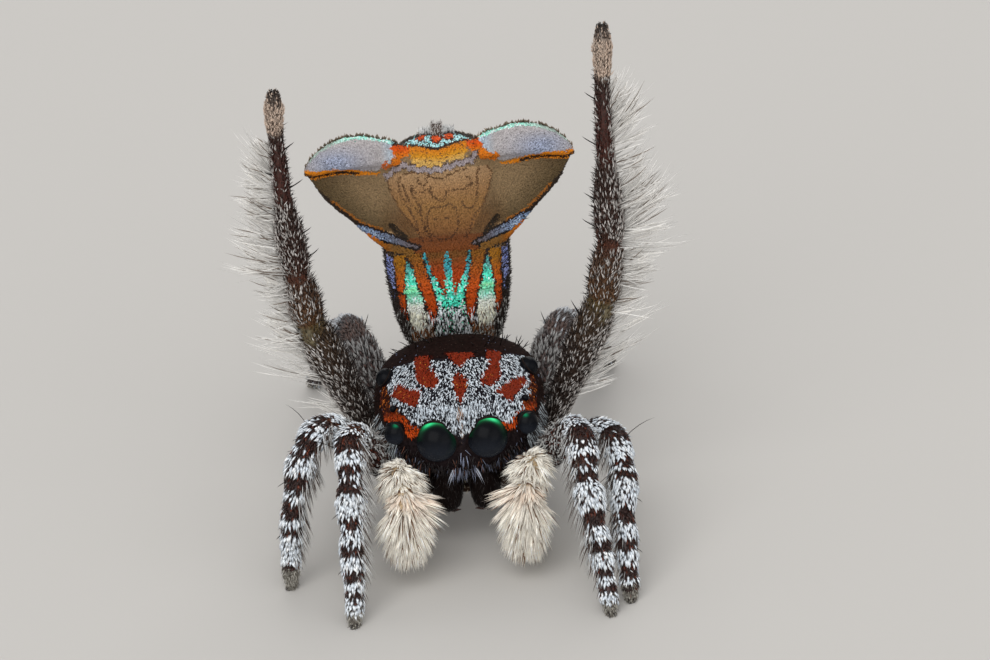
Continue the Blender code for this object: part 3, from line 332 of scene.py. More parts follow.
def along(rows, place):
    """Values at one place on a smooth curve through a table, whose first column is the place."""
    table = np.asarray(rows, float)
    place = min(max(place, table[0, 0]), table[-1, 0])
    last = len(table) - 1
    low = int(np.clip(np.searchsorted(table[:, 0], place) - 1, 0, last - 1))
    width = table[low + 1, 0] - table[low, 0]
    t = (place - table[low, 0]) / width

    def slope(row):
        before, after = max(row - 1, 0), min(row + 1, last)
        return (table[after, 1:] - table[before, 1:]) / (table[after, 0] - table[before, 0])

    rise = t * t * (3 - 2 * t)
    start = slope(low) * width * (t - 2 * t**2 + t**3)
    end = slope(low + 1) * width * (t**3 - t**2)
    return table[low, 1:] * (1 - rise) + table[low + 1, 1:] * rise + start + end


def table_at(rows, places):
    """Straight-line values of every column of a table at many places."""
    table = np.asarray(rows, float)
    return [np.interp(places, table[:, 0], column) for column in table.T[1:]]


def mix(one, other, share):
    """One colour turned into the other by each point's share."""
    return one * (1 - share[:, None]) + other * share[:, None]


def pick(where, one, other):
    """One colour where a test holds, and the other elsewhere."""
    return np.where(where[:, None], one, other)


def grows(value, start, span):
    """0 up to the start, and 1 a span further on."""
    return np.clip((value - start) / span, 0, 1)


def fades(value, end, span):
    """1 up to a span before the end, and 0 there."""
    return np.clip((end - value) / span, 0, 1)


def bell(value, centre, width):
    """1 at the centre, fading evenly to both sides."""
    return np.exp(-(((value - centre) / width) ** 2))


def distance_to(spots, line):
    """How far flat spots lie from a line of points."""
    best = np.full(len(spots), np.inf)
    for a, b in zip(np.array(line)[:-1], np.array(line)[1:]):
        span = b - a
        t = np.clip(((spots - a) @ span) / (span @ span), 0, 1)
        best = np.minimum(best, np.linalg.norm(spots - a - t[:, None] * span, axis=1))
    return best


def near(spots, line, width):
    """Which flat spots lie within half a width of a line of points."""
    return distance_to(spots, line) < width / 2


def shaded(places, stops):
    """Colours read from a table of place, red, green and blue."""
    table = np.array(stops, float)
    shades = np.array([paint(*row[1:]) for row in table])
    return np.stack([np.interp(places, table[:, 0], column) for column in shades.T], 1)


def within(spots, outline):
    """Which flat spots lie inside a closed outline."""
    inside = np.zeros(len(spots), bool)
    corners = np.array(outline)
    for (ax, ay), (bx, by) in zip(corners, np.roll(corners, -1, axis=0)):
        crosses = (ay > spots[:, 1]) != (by > spots[:, 1])
        reach = ax + (spots[:, 1] - ay) * (bx - ax) / (by - ay + 1e-12)
        inside ^= crosses & (spots[:, 0] < reach)
    return inside


def skin_of(points, faces, unwrap):
    """A skin to dress: points, triangles, each corner's place on the unwrap, and smooth normals."""
    corners = points[faces]
    flat = np.cross(corners[:, 1] - corners[:, 0], corners[:, 2] - corners[:, 0])
    normals = np.zeros_like(points)
    for k in range(3):
        np.add.at(normals, faces[:, k], flat)
    return {"points": points, "faces": faces, "unwrap": unwrap, "normals": unit(normals)}


def merged(skins):
    """Several skins taken as one."""
    starts = np.cumsum([0] + [len(skin["points"]) for skin in skins[:-1]])
    return skin_of(np.vstack([skin["points"] for skin in skins]),
                   np.vstack([skin["faces"] + start for skin, start in zip(skins, starts)]),
                   np.vstack([skin["unwrap"] for skin in skins]))


def skin_of_rings(rings):
    """A closed skin through rings of points, with each ring's turn and order as its unwrap."""
    rings = np.asarray(rings, float)
    rows, sides = rings.shape[:2]
    points = np.vstack([rings.reshape(-1, 3), rings[0].mean(0), rings[-1].mean(0)])
    r, k = (grid.ravel() for grid in np.mgrid[0:rows - 1, 0:sides])
    after = (k + 1) % sides
    a, b, c, d = r * sides + k, r * sides + after, (r + 1) * sides + after, (r + 1) * sides + k
    u0, u1, v0, v1 = k / sides, (k + 1) / sides, r / (rows - 1), (r + 1) / (rows - 1)
    faces = [np.stack([a, b, c], 1), np.stack([a, c, d], 1)]
    unwrap = [np.stack([u0, v0, u1, v0, u1, v1], 1), np.stack([u0, v0, u1, v1, u0, v1], 1)]
    k = np.arange(sides)
    after = (k + 1) % sides
    last = (rows - 1) * sides
    hub = np.full(sides, rows * sides)
    faces += [np.stack([hub, after, k], 1), np.stack([hub + 1, last + k, last + after], 1)]
    u0, u1, middle = k / sides, (k + 1) / sides, (k + 0.5) / sides
    zero, one = np.zeros(sides), np.ones(sides)
    unwrap += [np.stack([middle, zero, u1, zero, u0, zero], 1),
               np.stack([middle, one, u0, one, u1, one], 1)]
    faces, unwrap = np.vstack(faces), np.vstack(unwrap).reshape(-1, 3, 2)
    middle = points.mean(0)
    corners = points[faces] - middle
    if np.einsum("ij,ij->i", corners[:, 0], np.cross(corners[:, 1], corners[:, 2])).sum() < 0:
        faces, unwrap = faces[:, ::-1], unwrap[:, ::-1]
    return skin_of(points, faces, unwrap)


def superellipse(sides, half_x, high, low, power):
    """Points round a rounded box: x, and height between low and high."""
    angle = 2 * np.pi * (np.arange(sides) + 0.5) / sides
    c, s = np.cos(angle), np.sin(angle)
    x = half_x * np.sign(c) * np.abs(c) ** (2 / power)
    return x, (high + low) / 2 + (high - low) / 2 * np.sign(s) * np.abs(s) ** (2 / power)


def body_skin(rows, sides, power, grow, steps):
    """A rounded body whose rows run along y."""
    ends = [rows[0][0] - grow, rows[-1][0] + grow]
    rings = []
    for share in np.linspace(0, 1, steps):
        y = ends[0] + (ends[1] - ends[0]) * (0.5 - 0.5 * math.cos(math.pi * share))
        half, top, bottom = along(rows, y)
        x, z = superellipse(sides, half + grow, top + grow, bottom - grow, power)
        rings.append(np.stack([x, np.full(sides, y), z], 1))
    return skin_of_rings(rings)


def rounded_path(joints, rounding, steps=10):
    """Places in joint numbers and points along straight segments with rounded corners."""
    joints = np.asarray(joints, float)
    places, points = [], []
    last = len(joints) - 1
    lengths = np.linalg.norm(np.diff(joints, axis=0), axis=1)
    cuts = np.minimum(rounding, 0.42 * lengths) / lengths
    for j in range(last + 1):
        if j in (0, last):
            places.append(float(j))
            points.append(joints[j])
        else:
            start = joints[j] + (joints[j - 1] - joints[j]) * cuts[j - 1]
            end = joints[j] + (joints[j + 1] - joints[j]) * cuts[j]
            for t in np.linspace(0, 1, steps):
                points.append(start * (1 - t) ** 2 + joints[j] * 2 * t * (1 - t) + end * t * t)
                places.append(j - cuts[j - 1] * (1 - 2 * t) if t <= 0.5 else j + cuts[j] * (2 * t - 1))
        if j < last:
            for t in np.linspace(cuts[j], 1 - cuts[j], steps)[1:-1]:
                places.append(j + t)
                points.append(joints[j] + (joints[j + 1] - joints[j]) * t)
    return np.array(places), np.array(points)


def limb(joints, rounding, radii, sides=28, flat_sole=False):
    """A limb's skin, with its path and headings kept for the coat."""
    places, points = rounded_path(joints, rounding)
    headings = unit(np.gradient(points, places, axis=0))
    if flat_sole:
        headings[-1] = (0, 0, -1)
    side = unit(np.cross(headings[0], (0.31, 0.17, 0.93)))
    angle = 2 * np.pi * np.arange(sides) / sides
    rings = []
    for place, point, heading in zip(places, points, headings):
        side = unit(side - heading * (side @ heading))
        other = np.cross(heading, side)
        radius = float(along(radii, place)[0])
        rings.append(point + radius * (np.outer(np.cos(angle), side) + np.outer(np.sin(angle), other)))
    skin = skin_of_rings(rings)
    skin["unwrap"][:, :, 1] = np.interp(skin["unwrap"][:, :, 1], np.linspace(0, 1, len(places)),
                                        places / places[-1])
    skin.update(places=places, path=points, headings=headings, last=places[-1],
                point_places=np.append(np.repeat(places, sides), [0.0, places[-1]]))
    return skin


def on_limb(skin, places):
    """Points and headings of a limb's path at many places."""
    point, heading = (np.stack([np.interp(places, skin["places"], column) for column in skin[key].T], 1)
                      for key in ("path", "headings"))
    return point, unit(heading)


def abdomen_point(x, height, forward):
    """A point in the abdomen's own directions."""
    x, height, forward = np.broadcast_arrays(x, height, forward)
    return (ABDOMEN_FOOT + x[..., None] * np.array([1.0, 0, 0]) + height[..., None] * FAN_UP
            + forward[..., None] * FAN_FRONT)


def fan_place(points):
    """Sideways, height and forward places of points in the abdomen's own directions."""
    offset = points - ABDOMEN_FOOT
    return offset[:, 0], offset @ FAN_UP, offset @ FAN_FRONT


def flap_forward(x):
    """How far forward a flap's middle lies at a distance sideways."""
    t = (np.abs(x) - FLAP_ROOT) / (FLAP_EDGE[5][1] - FLAP_ROOT)
    return 0.11 + 0.05 * t + 0.05 * t * t


def fan_skin(inset):
    """One closed skin of the abdomen, its two flaps and their lobes, joined with no seam."""
    rings = []
    for height in np.linspace(ABDOMEN[0][0] + inset, ABDOMEN[-1][0] - inset, 70):
        half, front, back = along(ABDOMEN, height)
        x, forward = superellipse(64, half - inset, front - inset, back + inset, 2.5)
        rings.append(abdomen_point(x, height, forward))
    shapes = [skin_of_rings(rings)]
    for side in (1, -1):
        rings = []
        for v in np.linspace(0, 1, 60):
            edge_x, edge_h = along(FLAP_EDGE, 10 * v)
            root_h = along(FLAP_ROOT_HEIGHT, v)[0]
            t = np.linspace(0, 1, 30)
            x = FLAP_ROOT - FLAP_OVERLAP + (edge_x - FLAP_INSET - FLAP_ROOT + FLAP_OVERLAP) * t
            height = root_h + (edge_h - root_h) * t
            half = 0.5 * FLAP_THICKNESS * (1 - 0.4 * t) * np.sqrt(np.clip((1 - t) * 14, 0, 1))
            middle = flap_forward(np.maximum(x, FLAP_ROOT))
            front = abdomen_point(side * x, height, middle + half)
            back = abdomen_point(side * x, height, middle - half)
            rings.append(np.vstack([front, back[::-1]]))
        shapes.append(skin_of_rings(rings))
        angle = 2 * np.pi * np.arange(48) / 48
        reach = np.where(np.sin(angle) > 0, LOBE_UP, LOBE_DOWN)
        rings = []
        for turn in np.linspace(-0.49, 0.49, 28) * math.pi:
            x = LOBE_CENTRE[0] + LOBE_HALF_LENGTH * math.cos(turn) * np.cos(angle)
            height = LOBE_CENTRE[1] + reach * math.cos(turn) * np.sin(angle)
            height = height - LOBE_SAG * ((x - LOBE_CENTRE[0]) / LOBE_HALF_LENGTH) ** 2
            out = LOBE_FRONT if turn > 0 else LOBE_BACK
            rings.append(abdomen_point(side * x, height, flap_forward(x) + out * math.sin(turn)))
        shapes.append(skin_of_rings(rings))
    whole = merged(shapes)
    mesh = bpy.data.meshes.new("fan_shapes")
    mesh.from_pydata(whole["points"].tolist(), [], whole["faces"].tolist())
    holder = bpy.data.objects.new("fan_shapes", mesh)
    bpy.context.scene.collection.objects.link(holder)
    join = holder.modifiers.new("join", "REMESH")
    join.mode = "VOXEL"
    join.voxel_size = SKIN_VOXEL
    soften = holder.modifiers.new("soften", "SMOOTH")
    soften.iterations = 5
    soften.factor = 0.5
    ready = holder.evaluated_get(bpy.context.evaluated_depsgraph_get())
    joined = bmesh.new()
    joined.from_mesh(ready.to_mesh())
    bmesh.ops.triangulate(joined, faces=joined.faces)
    points = np.array([vertex.co[:] for vertex in joined.verts])
    faces = np.array([[vertex.index for vertex in face.verts] for face in joined.faces])
    joined.free()
    bpy.data.objects.remove(holder)
    bpy.data.meshes.remove(mesh)
    skin = skin_of(points, faces, np.zeros((len(faces), 3, 2)))
    x, height, forward = fan_place(points)
    facing = skin["normals"] @ FAN_FRONT
    wing = (np.abs(x) > 0.56) & (height > 1.35)
    turn = np.arctan2(x, forward + 0.05) / (2 * np.pi)
    across = np.where(wing, np.where(facing > 0, 0.63, 0.88) + x * 0.08, 0.25 + turn * 0.48)
    flat = np.stack([across, (height + 0.2) / 3.1], 1)[faces]
    skin["unwrap"] = flat[:, :1] + np.clip(flat - flat[:, :1], -0.02, 0.02)
    return skin


def scatter(skin, count, draws, density=None):
    """Evenly spread roots on a skin: points, outward normals and places on the unwrap."""
    corners = skin["points"][skin["faces"]]
    area = np.linalg.norm(np.cross(corners[:, 1] - corners[:, 0], corners[:, 2] - corners[:, 0]), axis=1)
    normals = skin["normals"][skin["faces"]]
    if density is not None:
        area = area * density(corners.mean(1), unit(normals.mean(1)), skin["unwrap"].mean(1))
    edges = np.cumsum(area)
    face = np.searchsorted(edges, (np.arange(count) + draws.random(count)) / count * edges[-1])
    face = np.minimum(face, len(area) - 1)
    a, b = draws.random((2, count))
    flip = a + b > 1
    a[flip], b[flip] = 1 - a[flip], 1 - b[flip]
    weight = np.stack([1 - a - b, a, b], 1)[:, :, None]
    return ((corners[face] * weight).sum(1), unit((normals[face] * weight).sum(1)),
            (skin["unwrap"][face] * weight).sum(1))


def strands(roots, out, lie, length, width, bend, sections=3, flat=0.7, sink=0.012, fade=0.25):
    """Tapered three-sided hairs: points by tuft, triangles of one, its unwrap patch and its shading."""
    count = len(roots)
    length = np.broadcast_to(length, count)[:, None]
    width = np.broadcast_to(width, count)[:, None]
    across = unit(np.cross(lie, out))
    upward = np.cross(across, lie)
    points = np.empty((count, sections * 3 + 1, 3))
    patch, shade = [], []
    for s in range(sections):
        t = s / sections
        wide = width * (1 - 0.5 * t * t)
        middle = roots - out * sink + (lie * t + bend * t * t) * length
        points[:, 3 * s] = middle + across * wide / 2
        points[:, 3 * s + 1] = middle - across * wide / 2
        points[:, 3 * s + 2] = middle + upward * wide * flat
        patch += [(0.5, t), (-0.5, t), (0.0, t)]
        # Painted shade: each hair darker towards its root, by the fade
        shade += [1 - fade * (1 - t)] * 3
    points[:, -1] = roots - out * sink + (lie + bend) * length
    faces = [(0, 1, 2)]
    for s in range(sections - 1):
        for k in range(3):
            a, b = 3 * s + k, 3 * s + (k + 1) % 3
            faces += [(a, b + 3, b), (a, a + 3, b + 3)]
    faces += [(3 * sections - 3 + k, 3 * sections, 3 * sections - 3 + (k + 1) % 3) for k in range(3)]
    return points, np.array(faces), np.array(patch + [(0.0, 1.0)]), np.array(shade + [1.0])


def scales(roots, out, lie, length, width, rise=0.15, thick=0.12, sink=0.004):
    """Flat pointed scales of eight triangles."""
    count = len(roots)
    length = np.broadcast_to(length, count)[:, None]
    width = np.broadcast_to(width, count)[:, None]
    across = unit(np.cross(lie, out))
    start = roots - out * sink
    middle = start + lie * length * 0.5 + out * (sink * 1.6 + length * rise * 0.6)
    points = np.stack([
        start, middle + across * width / 2, middle - across * width / 2, middle + out * length * thick,
        middle - out * length * thick * 0.5, start + lie * length + out * (length * rise + sink),
    ], 1)
    faces = np.array([(0, 1, 3), (0, 3, 2), (0, 4, 1), (0, 2, 4), (5, 3, 1), (5, 2, 3), (5, 1, 4), (5, 4, 2)])
    patch = np.array([(0, 0), (0.5, 0.5), (-0.5, 0.5), (0, 0.5), (0, 0.5), (0, 1)])
    # Painted shade and light at each point of a scale: darker at its root and underside, lighter on its top
    # and tip
    return points, faces, patch, np.array([0.8, 0.95, 0.95, 1.05, 0.7, 1.1])


def add_piece(name, points, faces, tint, material, nodes=(), unwrap=None, smooth=True):
    """One visible piece: a mesh in metres with a colour at each point, riding on the root."""
    mesh = bpy.data.meshes.new(name)
    mesh.vertices.add(len(points))
    mesh.vertices.foreach_set("co", ((np.asarray(points) + SHIFT) * MM).astype(np.float32).ravel())
    mesh.loops.add(faces.size)
    mesh.loops.foreach_set("vertex_index", faces.astype(np.int32).ravel())
    mesh.polygons.add(len(faces))
    mesh.polygons.foreach_set("loop_start", np.arange(0, faces.size, 3, dtype=np.int32))
    mesh.update(calc_edges=True)
    if unwrap is not None:
        layer = mesh.uv_layers.new(name="OFBake")
        layer.data.foreach_set("uv", np.clip(unwrap, 0.001, 0.999).astype(np.float32).ravel())
    colours = np.ones((len(points), 4), np.float32)
    colours[:, :3] = np.clip(tint, 0, 1)
    mesh.color_attributes.new("tint", "FLOAT_COLOR", "POINT").data.foreach_set("color", colours.ravel())
    mesh.polygons.foreach_set("use_smooth", np.full(len(faces), smooth))
    mesh.materials.append(MATERIALS[material])
    piece = bpy.data.objects.new(name, mesh)
    bpy.context.scene.collection.objects.link(piece)
    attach(piece, "root")
    if nodes:
        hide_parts(*nodes)
    return piece


def add_coat(name, tufts, material):
    """One coat piece from batches of tufts: shapes, each tuft's colour and its place on the unwrap."""
    points, faces, tint, unwrap, start = [], [], [], [], 0
    for (shape, triangles, patch, shade), colour, spot in tufts:
        count, size = shape.shape[:2]
        middle = shape.mean(1)
        solid = np.einsum("nij,nij->n", np.cross(shape[:, triangles[:, 0]] - middle[:, None],
                                                 shape[:, triangles[:, 1]] - middle[:, None]),
                          shape[:, triangles[:, 2]] - middle[:, None])
        if np.median(solid) < 0:
            triangles = triangles[:, ::-1]
        points.append(shape.reshape(-1, 3))
        each = (triangles[None] + (np.arange(count) * size)[:, None, None]).reshape(-1, 3)
        faces.append(each + start)
        tint.append((colour[:, None] * shade[None, :, None]).reshape(-1, 3))
        local = (spot[:, None] + patch[None] * PATCH).reshape(-1, 2)
        unwrap.append(local[each])
        start += count * size
    return add_piece(name, np.vstack(points), np.vstack(faces), np.vstack(tint), material,
                     unwrap=np.vstack(unwrap))


def add_skin(name, skin, tint, material, nodes):
    """A skin in place of the frame's own nodes."""
    return add_piece(name, skin["points"], skin["faces"], tint, material, nodes, skin["unwrap"])


def vary(colour, draws, amount):
    """Colours made lighter or darker tuft by tuft."""
    return colour * np.clip(draws.normal(1, amount, len(colour)), 0.3, 1.8)[:, None]


def tangent(directions, out):
    """Directions laid flat on a skin."""
    return unit(directions - out * np.einsum("ij,ij->i", directions, out)[:, None])


class Growth:
    """Roots spread over a skin, with their ways out, and the draws that shape what grows from them."""

    def __init__(self, skin, count, draws, density=None):
        self.count, self.draws = count, draws
        self.roots, self.out, self.spot = scatter(skin, count, draws, density)

    def even(self, low, high):
        """A number for each root, drawn evenly between two."""
        return self.draws.uniform(low, high, self.count)

    def stray(self, amount):
        """A small random way for each root."""
        return self.draws.normal(0, amount, (self.count, 3))

    def lifted(self, low, high):
        """The way out, as long as an even draw for each root."""
        return self.out * self.draws.uniform(low, high, (self.count, 1))

    def flat(self, directions):
        """Directions laid flat on the skin at the roots."""
        return tangent(directions, self.out)

    def plain(self, red, green, blue):
        """One colour for all roots."""
        return np.broadcast_to(paint(red, green, blue), self.roots.shape)

    def some(self, share, one, other):
        """One colour for a share of the roots, drawn at random, and another for the rest."""
        return pick(self.draws.random(self.count) < share, one, other)

    def batch(self, shape, colour, spread):
        """What add_coat takes, with the colour varied by a spread if there is one."""
        return shape, vary(colour, self.draws, spread) if spread else colour, self.spot

    def hairs(self, lie, length, width, bend, colour, spread=0.0, sections=2):
        """Hairs, bent by a vector or along the way out by a number."""
        bend = self.out * bend if np.isscalar(bend) else bend
        shape = strands(self.roots, self.out, unit(lie), length, width, bend, sections)
        return self.batch(shape, colour, spread)

    def scales(self, lie, length, width, rise, thick, colour, spread=0.0):
        """Flat scales."""
        return self.batch(scales(self.roots, self.out, lie, length, width, rise, thick), colour, spread)


def node_material(name, roughness, grain, bump, spread, specular, glow):
    """A shader whose colour is the piece's own tint, mottled and roughened by noise of a grain in mm."""
    material = bpy.data.materials.new(name)
    material.use_nodes = True
    nodes, links = material.node_tree.nodes, material.node_tree.links
    shader = nodes["Principled BSDF"]
    shader.inputs["Specular IOR Level"].default_value = specular
    place = nodes.new("ShaderNodeTexCoord")
    tint = nodes.new("ShaderNodeAttribute")
    tint.attribute_name = "tint"
    noise = nodes.new("ShaderNodeTexNoise")
    noise.inputs["Scale"].default_value = 1 / (grain * MM)
    noise.inputs["Detail"].default_value = 4.0
    links.new(place.outputs["Object"], noise.inputs["Vector"])

    def ranged(low, high, start=0.0, end=1.0):
        """The noise between two values, stretched to lie between two others."""
        level = nodes.new("ShaderNodeMapRange")
        for socket, value in (("From Min", start), ("From Max", end), ("To Min", low), ("To Max", high)):
            level.inputs[socket].default_value = value
        links.new(noise.outputs["Fac"], level.inputs["Value"])
        return level.outputs["Result"]

    scaled = nodes.new("ShaderNodeVectorMath")
    scaled.operation = "SCALE"
    links.new(tint.outputs["Color"], scaled.inputs[0])
    links.new(ranged(1 - spread, 1 + spread, 0.3, 0.7), scaled.inputs["Scale"])
    links.new(scaled.outputs["Vector"], shader.inputs["Base Color"])
    links.new(ranged(roughness * 0.8, min(roughness * 1.2, 1.0)), shader.inputs["Roughness"])
    if bump:
        dent = nodes.new("ShaderNodeBump")
        dent.inputs["Strength"].default_value = 0.6
        dent.inputs["Distance"].default_value = bump * MM
        links.new(noise.outputs["Fac"], dent.inputs["Height"])
        links.new(dent.outputs["Normal"], shader.inputs["Normal"])
    # Glow: the tint given off as light, painted brightness that lifts hair, scales and eyes above what the
    # lamps give them
    if glow:
        links.new(tint.outputs["Color"], shader.inputs["Emission Color"])
        shader.inputs["Emission Strength"].default_value = glow
    return material


# Roughness, grain and bump of the noise in mm, how far it spreads the colour, specular level, and glow, the
# tint given off as painted light
MATERIALS = {name: node_material(name, *row) for name, row in {
    "shell": (0.34, 0.03, 0.003, 0.35, 0.04, 0.0),
    "head": (0.6, 0.03, 0.004, 0.45, 0.01, 0.0),
    "head_scale": (0.45, 0.02, 0.0, 0.15, 0.10, 0.05),
    "leg_skin": (0.34, 0.03, 0.004, 0.35, 0.35, 0.0),
    "palp_skin": (0.5, 0.02, 0.003, 0.35, 0.5, 0.0),
    "fan_skin": (0.55, 0.02, 0.003, 0.35, 0.2, 0.0),
    "scale": (0.42, 0.02, 0.0, 0.15, 0.4, 0.04),
    "fan_scale": (0.42, 0.02, 0.0, 0.18, 0.22, 0.05),
    "hair": (0.45, 0.03, 0.0, 0.12, 0.4, 0.14),
    "dark_hair": (0.45, 0.03, 0.0, 0.2, 0.25, 0.0),
    "eye": (0.27, 0.05, 0.0, 0.05, 0.07, 0.5),
    "claw": (0.25, 0.01, 0.001, 0.35, 0.6, 0.0),
}.items()}
PALE = paint(205, 205, 200)
CREAM = paint(251, 245, 233)
DARK = paint(46, 33, 27)
BLACK = paint(20, 15, 13)
BROWN = paint(98, 62, 42)
MINT = paint(96, 226, 176)
DOWN = np.array([0, 0, -1.0])


def fan_paint(points, normals, draws, jitter):
    """The fan's colours on its front, and plainer ones on its sides and back."""
    x, true, forward = fan_place(points)
    x = x + draws.normal(0, jitter, len(x))
    height = true + (PATTERN_PLANE - forward) * SLANT + draws.normal(0, jitter, len(x))
    side = np.abs(x)
    spots, folded = np.stack([x, height], 1), np.stack([side, height], 1)
    chance = draws.random(len(x))

    def cover(where, shade):
        colour[where] = shade if np.ndim(shade) == 1 else shade[where]

    # The brown field of the flaps, the centre with its whorls, and the seam between them
    inner = grows(distance_to(folded, WING_FOOT), 0, 0.30) * np.clip((1.45 - side) / 0.7, 0.25, 1)
    colour = mix(paint(84, 68, 43), paint(136, 113, 82), inner)
    colour = mix(colour, paint(104, 74, 44), fades(side, 0.66, 0.25) * fades(height, 2.15, 0.35))
    cover(within(spots, CENTRE_EDGE), shaded(height, [
        (1.55, 92, 50, 26), (1.70, 126, 86, 48), (1.95, 144, 106, 62), (2.10, 154, 116, 76),
        (2.30, 166, 134, 98)]))
    cover((height < 1.62) & (side < 0.42), shaded(height, [(1.40, 118, 62, 22), (1.62, 104, 60, 30)]))
    ink = shaded(height, [(1.60, 66, 38, 20), (1.95, 98, 70, 45)])
    for line in WHORLS:
        cover(near(spots, line, WHORL_WIDTH) & (chance < 0.88), ink)
    cover(near(folded, WING_FOOT, 0.05), paint(44, 32, 22))
    seam = distance_to(folded, WING_FOOT[1:])
    cover((seam > 0.02) & (seam < 0.0425) & (height < 2.1), paint(150, 92, 34))
    cover(near(folded, WEDGE, 0.062) & (side > 0.36) & (chance < 0.9), paint(40, 30, 18))
    cover(near(folded, TAN_PATCH, 0.06), paint(176, 144, 104))

    # The blue and the orange band along the foot of each flap
    taper = np.interp(side, [0.27, 0.50, 0.70, 0.88], [0.016, 0.042, 0.048, 0.022])
    from_blue = distance_to(folded, BLUE_BAND)
    cover(from_blue < taper + 0.016, paint(34, 24, 20))
    cover(near(folded, ORANGE_BAND, 0.104), BLACK)
    blue = mix(paint(98, 90, 94), paint(112, 130, 160), grows(side, 0.36, 0.35))
    # Pale scales, a fifth of them and more towards the outer end: painted highlights on the blue band
    blue = mix(blue, paint(166, 184, 204), (chance < 0.2) * grows(side, 0.45, 0.2))
    cover((from_blue < taper - 0.008) & (chance < 0.9), blue)
    cover(near(folded, ORANGE_BAND, 0.076),
          mix(paint(122, 84, 34), paint(196, 108, 16), grows(side, 0.52, 0.2)))

    # The neck's stripes
    down = height + NECK_PLANE * SLANT
    a, b, c, d, e, f, g, i, j = table_at(NECK, down)
    neck = (down < NECK_TOP) & ~near(folded, ORANGE_BAND, 0.075) & ~near(folded, BLUE_BAND, 0.08)

    def stripe(start, end, shade, where=True):
        cover(neck & (side >= start) & (side < end) & where, shade)

    def speckled(*stops):
        shades = shaded(down, stops)
        shades[chance < 0.2] *= 0.6
        return shades

    cover(neck, DARK)
    # Mint scales, about a sixth of them near white: painted glints
    glint = pick(chance > 0.84, paint(200, 246, 232), paint(84, 232, 196))
    column = pick(down < 1.03, pick(chance < 0.56, paint(222, 232, 234), pick(chance < 0.76, MINT, BLACK)),
                  mix(paint(60, 150, 160), glint, fades(down, 1.30, 0.15)))
    column = pick((chance > 0.58) & (chance < 0.66), paint(44, 60, 58), column)
    stripe(0, a, column)
    stripe(a, b, mix(paint(160, 58, 10), paint(112, 70, 30), grows(down, 1.25, 0.2)))
    stripe(b + 0.008, c - 0.010, column)
    stripe(0, 0.10, glint, (np.abs(down - 1.0) < 0.045) & (chance < 0.8))
    stripe(c + 0.006, d - 0.010, speckled((0.85, 184, 66, 14), (1.1, 190, 78, 16), (1.45, 132, 84, 26)))
    drop = mix(glint, paint(84, 160, 158), grows(down, 1.20, 0.16))
    drop = mix(drop, paint(158, 222, 140), np.clip(1 - np.abs(down - 1.11) / 0.06, 0, 1) * 0.6)
    drop = mix(drop, mix(paint(222, 226, 206), paint(236, 238, 232), chance), fades(down, 1.09, 0.10))
    stripe(e + 0.008, f - 0.006, drop, down > 0.72)
    stripe(f + 0.008, g, speckled((0.85, 190, 72, 14), (1.15, 196, 84, 16), (1.4, 158, 104, 22)), down > 0.85)
    stripe(i, j, mix(paint(132, 146, 214), paint(166, 176, 226), chance))
    cover((down < 0.68) | ((down < 0.80) & (chance < 0.45)), pick(chance < 0.3, PALE, BLACK))

    # The silver lobes with their mint rim and orange foot
    lobe = within(folded, LOBE_LINE + LOBE_TOP)
    silver = mix(mix(paint(168, 161, 160), paint(182, 176, 176), chance), paint(132, 150, 184),
                 bell(side, 1.0, 0.24) * fades(height, 2.68, 0.16) * 0.62)
    cover(lobe, mix(silver, paint(178, 192, 204), fades(side, 0.56, 0.12)))
    top = np.interp(side, [0.3, 0.45, 0.6, 0.8, 1.0, 1.15, 1.27], LOBE_RIM)
    bright = fades(side, 1.05, 0.25)
    cover(lobe & (height > top - 0.013), mix(mix(paint(172, 190, 180), paint(160, 238, 214), bright),
                                             paint(236, 250, 244), (chance < 0.3) * bright))
    lobe_foot = np.array(LOBE_LINE)
    strip = np.interp(side, [0.58, 0.80, 1.30], [0.006, 0.026, 0.040])
    cover((distance_to(folded, lobe_foot[3:] - (0, 0.030)) < strip) & (side > 0.58), paint(214, 128, 20))
    cover(near(folded, lobe_foot[5:] - (0, 0.036), 0.030) & (side > 0.78) & (chance < 0.92), paint(46, 26, 10))

    # The crown between the lobes, its grey bow and red spots
    band = within(spots, CROWN_TOP + [(0.42, 2.72), (0.30, 2.86), (-0.30, 2.86), (-0.47, 2.70)])
    cover(band, pick(chance < 0.24, paint(60, 50, 44),
                     mix(paint(214, 228, 230), paint(132, 206, 208), chance)))
    torn = np.stack([x + 0.010 * np.sin(height * 95),
                     height + 0.011 * np.sin(x * 61 + 1) + 0.007 * np.sin(x * 143)], 1)
    crown = within(torn, CROWN_TOP + CROWN_FOOT)
    cover(crown, shaded(np.interp(x, [-0.45, 0, 0.4], [2.56, 2.50, 2.58]) - height,
                        [(-0.02, 206, 122, 22), (0.05, 204, 142, 34), (0.10, 206, 164, 88)]))
    cover(crown & (side > 0.28) & (chance < 0.92),
          mix(paint(214, 118, 22), paint(214, 84, 20), grows(height, 2.50, 0.08)))
    cover(crown & (chance > 0.93), BROWN)
    cover((np.hypot(x - CROWN_BLOB[0], height - CROWN_BLOB[1]) < 0.04) & (chance < 0.85), paint(206, 104, 44))
    cover(near(spots, CROWN_TOP, 0.024), paint(58, 40, 30))
    cover(near(torn, BOW, 0.074) & (chance < 0.85), paint(84, 66, 56))
    cover(near(torn, BOW, 0.052), mix(paint(142, 132, 136), paint(164, 152, 152), chance))
    for spot_x, spot_h in RED_SPOTS:
        reach = np.hypot(x - spot_x, height - spot_h)
        cover(reach < 0.058, paint(80, 40, 28))
        cover(reach < 0.040, paint(214, 84, 34))

    # Flanks and back
    facing = normals @ FAN_FRONT
    wing = (side > 0.60) & (true > 1.30)
    cover((facing < 0.12) & ~wing, mix(paint(56, 44, 36), paint(34, 26, 22), chance))
    cover((facing < -0.05) & wing, mix(paint(112, 98, 82), paint(74, 62, 50), fades(true, 2.4, 0.9)))
    cover((facing < -0.25) & ~wing, mix(paint(150, 136, 116), paint(96, 84, 72), chance))
    return colour


